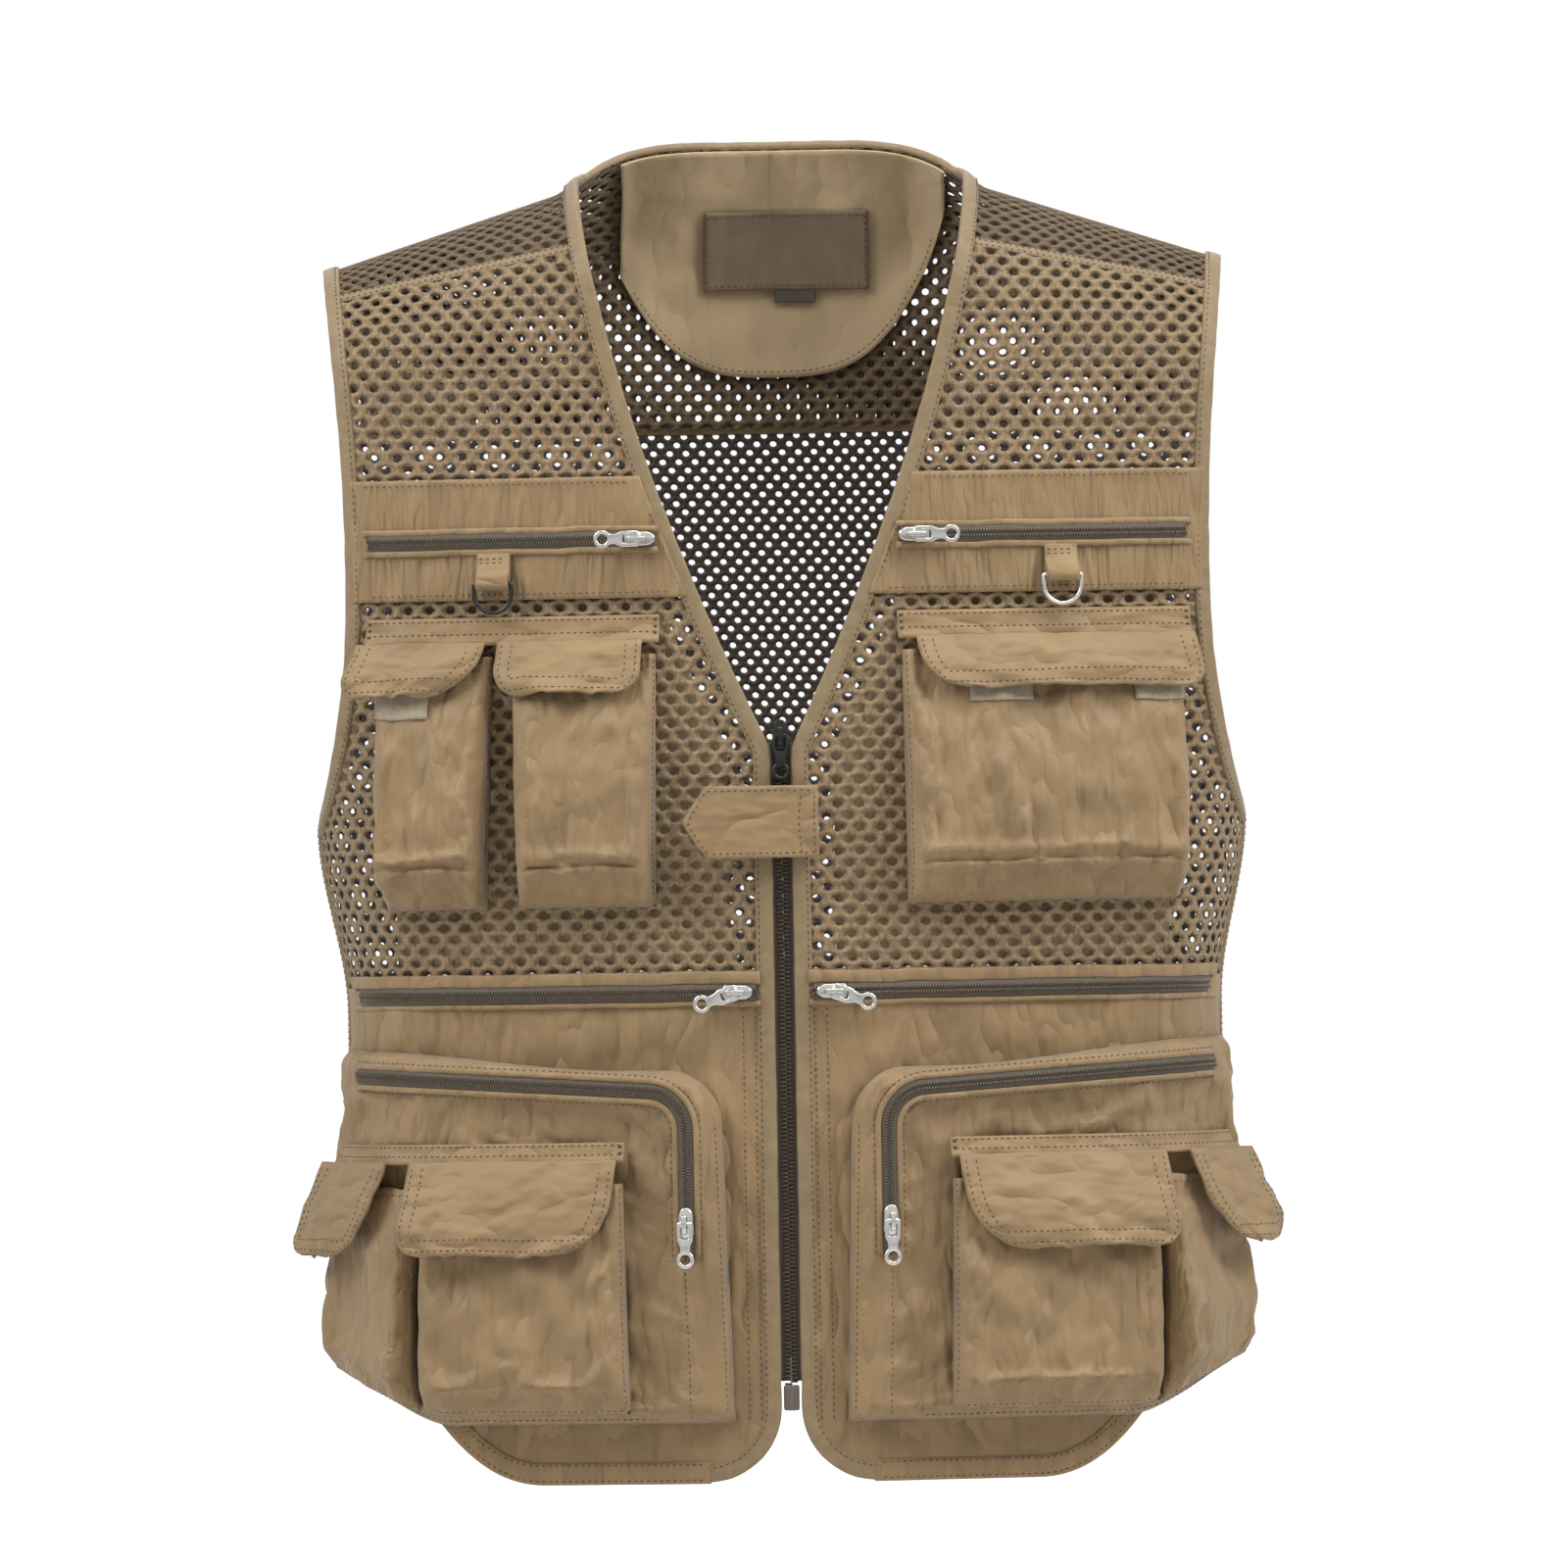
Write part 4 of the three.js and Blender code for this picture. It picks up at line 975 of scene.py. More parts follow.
# Cloth simulation: a sewn grid is let out a little, filled with a light pressure and left to crease.
def relax(points, pinned, fill=1.6, extra=0.03, cap=5.0, share=0.8, frames=14):
    rows, cols = points.shape[:2]
    index = np.arange(rows * cols).reshape(rows, cols)
    quads = np.stack([index[:-1, :-1], index[1:, :-1], index[1:, 1:], index[:-1, 1:]], -1).reshape(-1, 4)
    normal = gridNormals(points).reshape(-1, 3).mean(axis=0)
    if normal[1] > 0:
        quads = quads[:, ::-1]
    mesh = bpy.data.meshes.new("relaxing")
    mesh.from_pydata([tuple(p) for p in points.reshape(-1, 3) * 0.01], [],
                     [tuple(q) for q in quads.tolist()])
    trial = bpy.data.objects.new("relaxing", mesh)
    bpy.context.scene.collection.objects.link(trial)
    hold = trial.vertex_groups.new(name="sewn")
    weights = np.clip(pinned, 0, 1).ravel()
    for level in np.unique(np.round(weights, 1)):
        if level > 0:
            hold.add([int(i) for i in np.nonzero(np.round(weights, 1) == level)[0]], float(level), "REPLACE")
    cloth = trial.modifiers.new("cloth", "CLOTH")
    cloth.settings.vertex_group_mass = "sewn"
    cloth.settings.quality = 5
    cloth.settings.mass = 0.3
    cloth.settings.tension_stiffness = cloth.settings.compression_stiffness = 14
    cloth.settings.shear_stiffness = 6
    cloth.settings.bending_stiffness = 0.35
    cloth.settings.use_pressure = True
    cloth.settings.uniform_pressure_force = fill
    cloth.settings.shrink_min = cloth.settings.shrink_max = -extra
    cloth.settings.effector_weights.gravity = 0
    cloth.point_cache.frame_start, cloth.point_cache.frame_end = 1, frames
    scene = bpy.context.scene
    for frameNumber in range(1, frames + 1):
        scene.frame_set(frameNumber)
    settled = trial.evaluated_get(bpy.context.evaluated_depsgraph_get()).data
    moved = np.empty(rows * cols * 3)
    settled.vertices.foreach_get("co", moved)
    moved = moved.reshape(rows, cols, 3) * 100.0
    bpy.data.objects.remove(trial)
    scene.frame_set(1)
    shift = (moved - points) * share
    reach = np.linalg.norm(shift, axis=-1, keepdims=True)
    return points + shift * np.minimum(1, cap / np.maximum(1e-6, reach))


def rise(distance, run, power=0.8):
    return np.sin(math.pi / 2 * np.clip(distance / run, 0, 1)) ** power


def sewnEdges(rows, cols, sides=True, bottom=True, top=0.0):
    pinned = np.zeros((rows, cols))
    if sides:
        pinned[:, :2] = pinned[:, -2:] = 1.0
    if bottom:
        pinned[-2:] = 1.0
    pinned[0] = np.maximum(pinned[0], top)
    return pinned


pouchGrids = {}
chest = {"base": 3.5, "mouth": 4.6, "depth": 19.0, "top": -240.0, "bottom": -369.0, "fold": 0.86}


def chestPouch(side, name, span, spanLow, seed):
    cols, rows = max(26, int((span[1] - span[0]) / 2.4)), 58
    u = np.ones((rows, 1)) * np.linspace(0, 1, cols)[None, :]
    v = np.linspace(0, 1, rows)[:, None] * np.ones((1, cols))
    low, high = mix(span[0], spanLow[0], v), mix(span[1], spanLow[1], v)
    x = mix(low, high, u)
    z = mix(chest["top"], chest["bottom"], v)
    side1, side2 = (x - low), (high - x)
    deep = chest["mouth"] + chest["depth"] * np.sin(math.pi / 2 * np.minimum(1, v / 0.62))
    under = np.where(v < chest["fold"], 1.0, ((1 - v) / (1 - chest["fold"])) ** 0.7)
    round1 = rise(side1, 8.0, 0.7) * rise(side2, 8.0, 0.7)
    drag = noise(x + 0.25 * z, z * 0.4, (9, 26), seed) * 1.9 + noise(x, z, (15, 13), seed + 1) * 1.5
    drag = drag + noise(x - 0.3 * z, z, (5, 11), seed + 2) * 0.7
    bellows = -2.6 * np.exp(-((z + 348.5) / 3.0) ** 2) + 1.5 * np.exp(-((z + 342) / 4.0) ** 2)
    out = chest["base"] + (deep * under + (drag + bellows) * np.minimum(1, deep / 14)) * round1
    points, normals = onBody(front, side * x, z, out)
    relaxed = relax(points, sewnEdges(rows, cols), fill=1.2, extra=0.035, cap=4.5)
    piece = clothPiece(f"pouch_{name}", relaxed, normals, 0.9, nylonCloth,
                       replaced=(f"chest_pouch_{name}",))
    pouchGrids[name] = (relaxed, outwardNormals(relaxed, normals))
    for q in (0.022, 0.05):
        line = sampleGrid(relaxed, np.linspace(0.03, 0.97, cols * 2), np.full(cols * 2, q))
        up = sampleGrid(outwardNormals(relaxed, normals), np.linspace(0.03, 0.97, cols * 2),
                        np.full(cols * 2, q))
        seamThread.add(*stitches(line, up))
    for p in (0.012, 0.988):
        line = sampleGrid(relaxed, np.full(90, p), np.linspace(0.02, 0.98, 90))
        up = sampleGrid(normals, np.full(90, p), np.linspace(0.02, 0.98, 90))
        seamThread.add(*stitches(line + up * 0.1, up))
    return piece


cargo = {
    "base": 3.5, "depth": 16.0, "sideDepth": 8.0, "from": 150.0, "run": 70.0, "gusset": 12.0, "corner": 27.0,
    "innerTop": 33.0, "innerBottom": 28.0, "top": -452.0, "sideTop": -440.0, "bottom": -632.0,
    "sideBottom": -604.0,
}


def cargoFace(x):
    return cargo["base"] + mix(cargo["depth"], cargo["sideDepth"],
                               smooth((x - cargo["from"]) / cargo["run"]))


def cargoGrid(side, rows, cols):
    # The pocket's outline: a rounded upper inner corner, and a lower edge that rises to the side.
    b = np.linspace(0, 1, rows)[:, None] * np.ones((1, cols))
    zGuess = mix(cargo["top"], cargo["bottom"], b)
    low = mix(cargo["innerTop"], cargo["innerBottom"], b)
    edge = sectionHalf(zGuess) * 0.996
    x = np.stack([spread(front, low[r, 0], edge[r, 0], zGuess[r, 0], cols) for r in range(rows)])
    top = mix(cargo["top"], cargo["sideTop"], smooth((x - 80) / (form["waistHalf"] - 80)))
    bottom = mix(cargo["bottom"], cargo["sideBottom"], smooth((x - 170) / 65))
    z = mix(top, bottom, b)
    inner, upper = x - low, top - z
    r = cargo["corner"]
    a1, b1 = np.clip(1 - inner / r, 0, 1), np.clip(1 - upper / r, 0, 1)
    x = np.where((a1 > 0) & (b1 > 0), low + r - r * a1 * np.sqrt(1 - b1 * b1 / 2), x)
    z = np.where((a1 > 0) & (b1 > 0), top - r + r * b1 * np.sqrt(1 - a1 * a1 / 2), z)
    return x, z, inner, upper, z - bottom, edge - x


def cargoPouch(side, name):
    rows, cols = 80, 92
    x, z, inner, upper, lower, outer = cargoGrid(side, rows, cols)
    full = cargoFace(x) - cargo["base"]
    seed = 61 if side < 0 else 71
    lean = side * 0.8
    soft = noise(x + lean * z, z - 0.5 * x, (26, 10), seed) * 2.5 + noise(x, z, (17, 17), seed + 1) * 1.4
    soft = soft + noise(x + lean * z, z - 0.4 * x, (11, 5), seed + 2) * 0.9
    sunk = rise(inner, cargo["gusset"], 0.7) * rise(upper, 8.0, 0.7) * rise(lower, 9.0, 0.7) * rise(outer,
                                                                                                    5.0, 0.8)
    free = np.clip((inner - 12) / 12, 0, 1) * np.clip((upper - 12) / 12, 0, 1)
    out = cargo["base"] + (full + soft * free) * sunk
    points, normals = onBody(front, side * x, z, out)
    pinned = sewnEdges(rows, cols, top=1.0)
    pinned[(inner < 19) | (upper < 15)] = 1.0
    relaxed = relax(points, pinned, fill=0.8, extra=0.03, cap=4.0)
    clothPiece(f"pouch_cargo_{name}", relaxed, normals, 0.9, nylonCloth,
               replaced=(f"cargo_pocket_{name}",))
    up = outwardNormals(relaxed, normals)
    for p, q in ((0.012, None), (None, 0.985), (0.085, None)):
        share = np.linspace(0.16, 0.98, 150)
        at = (np.full(150, p), share) if p is not None else (share, np.full(150, q))
        seamThread.add(*stitches(sampleGrid(relaxed, *at), sampleGrid(up, *at)))
    return relaxed, up


def smallDepth(x, v):
    return 4.6 + mix(13.0, 5.0, smooth((x - 185) / 30)) * np.sin(math.pi / 2 * np.minimum(1, v / 0.62))


def smallPouch(side, name, part, span, seed):
    rows, cols = 52, 46
    v = np.linspace(0, 1, rows)[:, None] * np.ones((1, cols))
    u = np.ones((rows, 1)) * np.linspace(0, 1, cols)[None, :]
    if part == "side":
        x = np.stack([spread(front, span[0], float(sectionHalf(zz)) * 0.996, zz, cols)
                      for zz in np.linspace(-509, -626, rows)])
    else:
        x = mix(span[0] - 2 * v, span[1], u)
    bottom = mix(-626.0, cargo["sideBottom"] + 4, smooth((x - 170) / 65))
    z = mix(-509.0, bottom, v)
    low, high = x[:, :1], x[:, -1:]
    under = np.where(v < 0.88, 1.0, ((1 - v) / 0.12) ** 0.7)
    ends = rise(x - low, 7.0, 0.7) * rise(high - x, 7.0 if part == "front" else 4.0, 0.7)
    soft = noise(x + 0.3 * side * z, z, (11, 24), seed) * 2.1 + noise(x, z, (14, 15), seed + 1) * 1.6
    soft = soft + noise(x - 0.4 * side * z, z, (5, 10), seed + 2) * 0.8
    out = cargoFace(x) + 0.9 + (smallDepth(x, v) * under + soft * np.clip(v * 4, 0.3, 1)) * ends
    points, normals = onBody(front, side * x, z, out)
    relaxed = relax(points, sewnEdges(rows, cols), fill=1.0, extra=0.035, cap=4.0)
    clothPiece(f"pouch_{part}_{name}", relaxed, normals, 0.9, nylonCloth,
               replaced=(f"{part}_pouch_{name}",))
    up = outwardNormals(relaxed, normals)
    for at in ((np.full(80, 0.015), np.linspace(0.02, 0.98, 80)),
               (np.full(80, 0.985), np.linspace(0.02, 0.98, 80)),
               (np.linspace(0.03, 0.97, 80), np.full(80, 0.035)),
               (np.linspace(0.03, 0.97, 80), np.full(80, 0.985))):
        seamThread.add(*stitches(sampleGrid(relaxed, *at), sampleGrid(up, *at)))


def seat(face, x, z, out, turn=0.0, tilt=0.0):
    # A place on the form: its origin, and axes across the cloth, up it and out from it.
    def at(px, pz, po):
        points, normals = onBody(face, np.array([px]), np.array([pz]), po)
        return points[0], normals[0]

    origin, _ = at(x, z, out)
    acrossAxis = at(x + 3, z, out)[0] - at(x - 3, z, out)[0]
    acrossAxis /= np.linalg.norm(acrossAxis)
    normal = at(x, z, 0.0)[1]
    upAxis = np.cross(normal, acrossAxis)
    upAxis /= np.linalg.norm(upAxis)
    axes = np.stack([acrossAxis, upAxis, np.cross(acrossAxis, upAxis)], 1)
    c, s = math.cos(math.radians(turn)), math.sin(math.radians(turn))
    axes = axes @ np.array([[c, -s, 0], [s, c, 0], [0, 0, 1]])
    c, s = math.cos(math.radians(-tilt)), math.sin(math.radians(-tilt))
    return origin, axes @ np.array([[1, 0, 0], [0, c, -s], [0, s, c]])


def outOf(place, local):
    origin, axes = place
    return origin + np.asarray(local) @ axes.T


flapShape = {"cloth": 1.5, "flare": 1.0, "bow": 3.5, "rows": 30}


def flapPiece(name, body, replaced, x, z, out, width, height, tilt, seed, skew, corners):
    # skew shifts the lower edge along +X, and corners are the radii of its -X and +X corners.
    place = seat(front, x, z, out, 0.0, tilt)
    cols, rows = max(24, int(width / 2.2)), flapShape["rows"]
    u = np.ones((rows, 1)) * np.linspace(-1, 1, cols)[None, :]
    v = np.linspace(0, 1, rows)[:, None] * np.ones((1, cols))
    y = -height * v
    ends = []
    for r in corners:
        into = np.clip(r - (height + y), 0, r)
        ends.append(width / 2 + flapShape["flare"] * v - (r - np.sqrt(r * r - into * into)))
    wide = mix(-ends[0], ends[1], (u + 1) / 2) + skew * v ** 1.3
    wave = noise(u * width / 2 + 0.5 * y, y, (width / 5, 17), seed) * 2.6 * v ** 0.8
    wave = wave + noise(u * width / 2, y - 0.6 * u * width / 2, (9, 6), seed + 9) * 0.7
    curl = -flapShape["bow"] * v ** 2 * np.abs(u) ** 3 - 1.2 * v ** 3
    lift = 2.0 * np.sin(math.pi * np.clip(v * 1.1, 0, 1)) * (1 - u * u) + wave + curl
    lift = np.maximum(lift, -1.0 - 3.0 * v)
    grid = np.stack([wide, y, lift + 0.6], -1)
    points = outOf(place, grid)
    facing = np.broadcast_to(place[1][:, 2], points.shape)
    clothPiece(name, points, facing, flapShape["cloth"], flapCloth, body=body,
               replaced=replaced)
    up = outwardNormals(points, facing)
    threads = Bundle()
    for inset in (2.6, 8.0):
        du, dv = inset / (width / 2), inset / height
        downs = np.linspace(0.06, 1 - dv, 50)
        path = [(np.full(50, du / 2), downs), (np.linspace(du / 2, 1 - du / 2, 90), np.full(90, 1 - dv)),
                (np.full(50, 1 - du / 2), downs[::-1])]
        for p, q in path:
            threads.add(*stitches(sampleGrid(points, p, q), sampleGrid(up, p, q)))
    threads.make(f"thread_{name}", threadCloth, body=body)


for name, span, low, seed in (("outer", (145, 205), (150, 200), 81), ("inner", (62, 136), (64, 134), 84)):
    chestPouch(-1, name, span, low, seed)
chestPouch(1, "left", (62, 204), (63, 201), 87)
report("chest pouches")
hingeOut = chest["base"] + 2.8
for name, x, width, seed, skew, corners in (
    ("outer", -181, 68, 91, -9.0, (12.0, 24.0)), ("inner", -105, 75, 92, -1.0, (14.0, 14.0)),
    ("left", 140, 145, 93, 5.0, (20.0, 12.0)),
):
    flapPiece(f"flap_chest_{name}", f"chest_flap_{name}", (f"chest_flap_{name}",), x, -233.0, hingeOut,
              width, 29.0, 28.0,
              seed, skew, corners)
for side, name in ((-1, "right"), (1, "left")):
    cargoPouch(side, name)
    smallPouch(side, name, "front", (80.0, 180.4), 101 if side < 0 else 105)
    smallPouch(side, name, "side", (181.6, 0.0), 103 if side < 0 else 107)
    for part, x, width, seed, skew in (("front", 135.0, 108.0, 111, 7.0), ("side", 208.0, 60.0, 113, 12.0)):
        body = f"{part}_pouch_flap_{name}"
        flapPiece(f"flap_{part}_{name}", body, (body,), side * x, -497.0, float(cargoFace(x)) + 4.2, width,
                  50.0, 20.0,
                  seed + (side > 0) * 5, side * skew, (28.0, 16.0)[::side])
report("cargo pouches")


# Zips: a woven tape with two rows of coil along its middle.
zipLook = {"width": 9.0, "cloth": 0.7, "pitch": 1.45, "tooth": (2.1, 0.42, 0.5), "gap": 0.25}


def barMesh(centre, axes, half):
    # Many small bars with chamfered ends: axes are the bars' long, short and outward directions.
    signs = np.array([(a, b, c) for a in (-1, 1) for b in (-1, 1) for c in (-1, 1)], float)
    signs[:, 1:] *= 0.8
    corners = centre[:, None,
                     :] + sum(axes[k][:, None, :] * (signs[None, :, k:k + 1] * half[k]) for k in range(3))
    caps = centre[:, None, :] + axes[2][:, None, :] * half[2] * 1.35 + np.array([-0.5, 0.5])[None, :,
                                                                                             None] * (
        axes[0][:, None, :] * half[0])
    count = len(centre)
    vertices = np.concatenate([corners, caps], axis=1).reshape(-1, 3)
    base = [(0, 2, 6, 4), (0, 1, 3, 2), (4, 6, 7, 5), (0, 4, 5, 9, 8, 1), (2, 3, 8, 9, 7, 6), (1, 8, 3),
            (5, 7, 9)]
    faces = [tuple(10 * n + i for i in face) for n in range(count) for face in base]
    return vertices, faces


def zipPieces(name, points, normals, replaced, chainOut=0.75):
    _, across = pathFrame(points, normals)
    tape = [(-4.5, 0.0), (-4.5, 0.55), (-1.4, 0.7), (1.4, 0.7), (4.5, 0.55), (4.5, 0.0)]
    newObject(f"tape_{name}", *sweep(points, across, normals, tape), tapeCloth, slot="zip_tape",
              replaced=replaced)
    chain = Bundle()
    line = resample(np.concatenate([points, normals, across], axis=1), zipLook["pitch"])
    at, up, over = line[:, :3], line[:, 3:6], line[:, 6:]
    up = up / np.linalg.norm(up, axis=1, keepdims=True)
    over = over / np.linalg.norm(over, axis=1, keepdims=True)
    run = np.cross(up, over)
    toothLength, short, high = zipLook["tooth"]
    for row in (-1, 1):
        shift = run * zipLook["pitch"] * 0.25 * row
        centre = at + over * row * (toothLength / 2 + zipLook["gap"]) + shift + up * (chainOut + 0.25)
        chain.add(*barMesh(centre, (over, run, up), (toothLength / 2, short, high)))
    chain.make(f"coil_{name}", coilNylon, slot="zip_tape")


def lips(name, face, flatPath, out, width=3.2, high=0.9, shift=0.0):
    points, normals = onForm(face, flatPath, out, 3.0)
    _, across = pathFrame(points, normals)
    wave = 0.5 * noise(np.arange(len(points)) * 3.0, np.zeros(len(points)), (13, 9), 8)[:, None]
    newObject(name,
              *sweep(points + across * (shift + wave), across, normals, foldProfile(width, -0.6, high, 0.6)),
              nylonCloth)


def zipRun(side, x0, x1, z, count=110):
    xs = spread(front, side * x0, side * x1, z, count)
    return np.stack([xs, np.full(count, z)], -1)


def plateMesh(outlines, depth, bevel, steps=3):
    # A flat plate with holes and rounded edges, centred on its own plane.
    curve = bpy.data.curves.new("plate", "CURVE")
    curve.dimensions, curve.fill_mode = "2D", "BOTH"
    curve.extrude, curve.bevel_depth = depth / 2 - bevel, bevel
    curve.bevel_resolution, curve.offset = steps, -bevel
    for outline in outlines:
        spline = curve.splines.new("POLY")
        spline.points.add(len(outline) - 1)
        for point, (x, y) in zip(spline.points, outline):
            point.co = (x, y, 0, 1)
        spline.use_cyclic_u = True
    holder = bpy.data.objects.new("plate", curve)
    bpy.context.scene.collection.objects.link(holder)
    made = holder.evaluated_get(bpy.context.evaluated_depsgraph_get()).to_mesh()
    vertices = np.array([v.co[:] for v in made.vertices])
    faces = [tuple(p.vertices) for p in made.polygons]
    bpy.data.objects.remove(holder)
    key = np.round(vertices, 4)
    _, first, inverse = np.unique(key, axis=0, return_index=True, return_inverse=True)
    inverse = inverse.ravel()
    return vertices[first], tidyFaces([tuple(int(inverse[i]) for i in face) for face in faces])


def arcPoints(cx, cy, r, start, stop, count):
    angles = np.radians(np.linspace(start, stop, count))
    return [(cx + r * math.cos(a), cy + r * math.sin(a)) for a in angles]


def roundedBox(x0, x1, y0, y1, r, count=5):
    return (arcPoints(x1 - r, y1 - r, r, 0, 90, count) + arcPoints(x0 + r, y1 - r, r, 90, 180, count)
            + arcPoints(x0 + r, y0 + r, r, 180, 270, count) + arcPoints(x1 - r, y0 + r, r, 270, 360, count))


# The slider and puller: x is the way the puller points, y is across the zip and z points out.
sliderPlate = arcPoints(3.0, 0, 4.4, -62, 62, 12) + [(-5.2, 3.4)] + arcPoints(-5.4, 0, 3.0, 110, 250,
                                                                              7) + [(-5.2, -3.4)]
lowerPlate = plateMesh([sliderPlate], 1.2, 0.45)
upperPlate = plateMesh([sliderPlate], 1.4, 0.55)
bridge = plateMesh([roundedBox(-5.0, 5.0, -2.0, 4.6, 1.6), roundedBox(-3.4, 3.4, -1.2, 3.4, 1.1)], 2.4, 0.5)
pullerOutline = ([(-1.1, -3.4), (-0.3, -4.1), (8.0, -4.1), (11.5, -2.6), (13.9, -2.7)]
                 + arcPoints(18.0, 0, 4.6, -142, 142, 26)
                 + [(13.9, 2.7), (11.5, 2.6), (8.0, 4.1), (-0.3, 4.1), (-1.1, 3.4)])
puller = plateMesh([pullerOutline, roundedBox(1.1, 7.4, -2.2, 2.2, 0.9),
                    arcPoints(18.0, 0, 2.6, 0, 345, 24)], 1.6, 0.6)


def zipPull(name, x, z, out, turn, metal, slot, droop=0.0):
    place = seat(front, x, z, out, turn)
    parts = Bundle()
    parts.add(outOf(place, lowerPlate[0] + [0, 0, 0.6]), lowerPlate[1])
    parts.add(outOf(place, upperPlate[0] + [0, 0, 2.7]), upperPlate[1])
    core = barMesh(np.array([[-1.0, 0.0, 1.6]]), [np.eye(3)[k:k + 1] for k in range(3)], (3.2, 1.6, 0.9))
    parts.add(outOf(place, core[0]), core[1])
    arch = bridge[0][:, [0, 2, 1]] * [1, -1, 1] + [0, 0, 3.4]
    parts.add(outOf(place, arch), bridge[1])
    parts.make(f"slider_{name}", metal, f"{name}_slider", slot, (f"{name}_slider",))
    pull = Bundle()
    c, s = math.cos(math.radians(droop)), math.sin(math.radians(droop))
    hung = puller[0] @ np.array([[c, s, 0], [-s, c, 0], [0, 0, 1]]) + [0, 0, 5.2]
    pull.add(outOf(place, hung), puller[1])
    pull.make(f"puller_{name}", metal, f"{name}_puller", slot, (f"{name}_puller",))


def cargoZipPath(side):
    x, top, r = 48.0, -459.2, 20.0
    turn = np.linspace(math.pi, math.pi / 2, 14)
    flat = ([(x, -547.0), (x, top - r - 3.2)]
            + [(x + r + r * math.cos(a), top - r - 3 + r * math.sin(a)) for a in turn]
            + [(208.0, top + 6)])
    flat = resample(np.array(flat), 2.5)
    points, normals = onBody(front, side * flat[:, 0], flat[:, 1], cargoFace(flat[:, 0]) + 0.75)
    return flat, points, normals


for side, name in ((-1, "right"), (1, "left")):
    chestLine = zipRun(side, 62.0, 207.0, -181.5)
    zipPieces(f"chest_{name}", *onForm(front, chestLine, 3.9), (f"chest_zip_tape_{name}",))
    for z in (-176.2, -186.9):
        lips(f"lip_chest_{name}_{int(-z)}", front, zipRun(side, 60.0, 210.0, z), 3.9)
    waistLine = zipRun(side, 14.0, 214.0, -413.0)
    zipPieces(f"waist_{name}", *onForm(front, waistLine, 2.7), (f"waist_zip_tape_{name}",))
    lips(f"lip_waist_lower_{name}", front, zipRun(side, 12.0, 218.5, -418.6), 2.3)
    lips(f"lip_waist_upper_{name}", front, zipRun(side, 12.0, 218.5, -405.6), 1.6, 6.5, 2.1)
    flat, points, normals = cargoZipPath(side)
    zipPieces(f"cargo_{name}", points, normals, (f"cargo_zip_tape_{name}",))
    _, across = pathFrame(points, normals)
    for k, shift in enumerate((-5.4, 5.4)):
        rim = sweep(points + across * shift, across, normals, foldProfile(3.0, -0.9, 1.1, 0.6))
        newObject(f"lip_cargo_{name}_{k}", *rim, nylonCloth)
        seamThread.add(*stitches(points + across * (shift * 1.42) + normals * 0.3, normals))
    z = np.linspace(-286.0, -611.0, 130)
    edge, normals = onBody(front, np.full(130, side * 6.8), z, -4.1)
    _, across = pathFrame(edge, normals)
    newObject(f"tape_front_{name}",
              *sweep(edge, across, normals, [(-6.2, 0), (-6.2, 0.6), (6.2, 0.6), (6.2, 0)]),
              tapeCloth, slot="zip_tape", replaced=(f"front_zip_tape_{name}",))
    pointing = 180 if side < 0 else 0
    zipPull(f"chest_zip_{name}", side * 69.0, -181.5, 6.0, pointing, brightMetal, "bright_metal")
    zipPull(f"waist_zip_{name}", side * 24.0, -413.0, 4.2, pointing, brightMetal, "bright_metal",
            -18.0 * side)
    zipPull(f"cargo_zip_{name}", side * 48.0, -530.0, float(cargoFace(50.0)) + 2.6, -90, brightMetal,
            "bright_metal")
zipPull("front_zip", 0.0, -283.0, -1.9, -90, darkMetal, "dark_metal")

z = np.linspace(-292.0, -612.0, 150)
centre, normals = onBody(front, np.zeros(150), z, -3.6)
_, across = pathFrame(centre, normals)
chain = Bundle()
line = resample(np.concatenate([centre, normals, across], axis=1), 2.1)
at, up, over = line[:, :3], line[:, 3:6], line[:, 6:]
for row in (-1, 1):
    shift = np.cross(up, over) * 0.52 * row
    chain.add(*barMesh(at + over * row * 1.5 + shift + up * 0.2, (over, np.cross(up, over), up),
                       (1.9, 0.6, 0.95)))
chain.make("coil_front", coilNylon, slot="zip_tape")
boxPlace = seat(front, 0.0, -619.5, -2.0)
body = plateMesh([roundedBox(-4.0, 4.0, -6.5, 6.5, 1.2)], 3.6, 0.7)
slotBar = plateMesh([roundedBox(-1.1, 1.1, -4.6, 4.6, 0.9)], 1.0, 0.3)
zipBox = Bundle()
zipBox.add(outOf(boxPlace, body[0]), body[1])
zipBox.add(outOf(boxPlace, slotBar[0] + [0, 0, 1.9]), slotBar[1])
zipBox.make("zip_box", boxPlastic, slot="zip_box", replaced=("front_zip_box",))
report("zips")


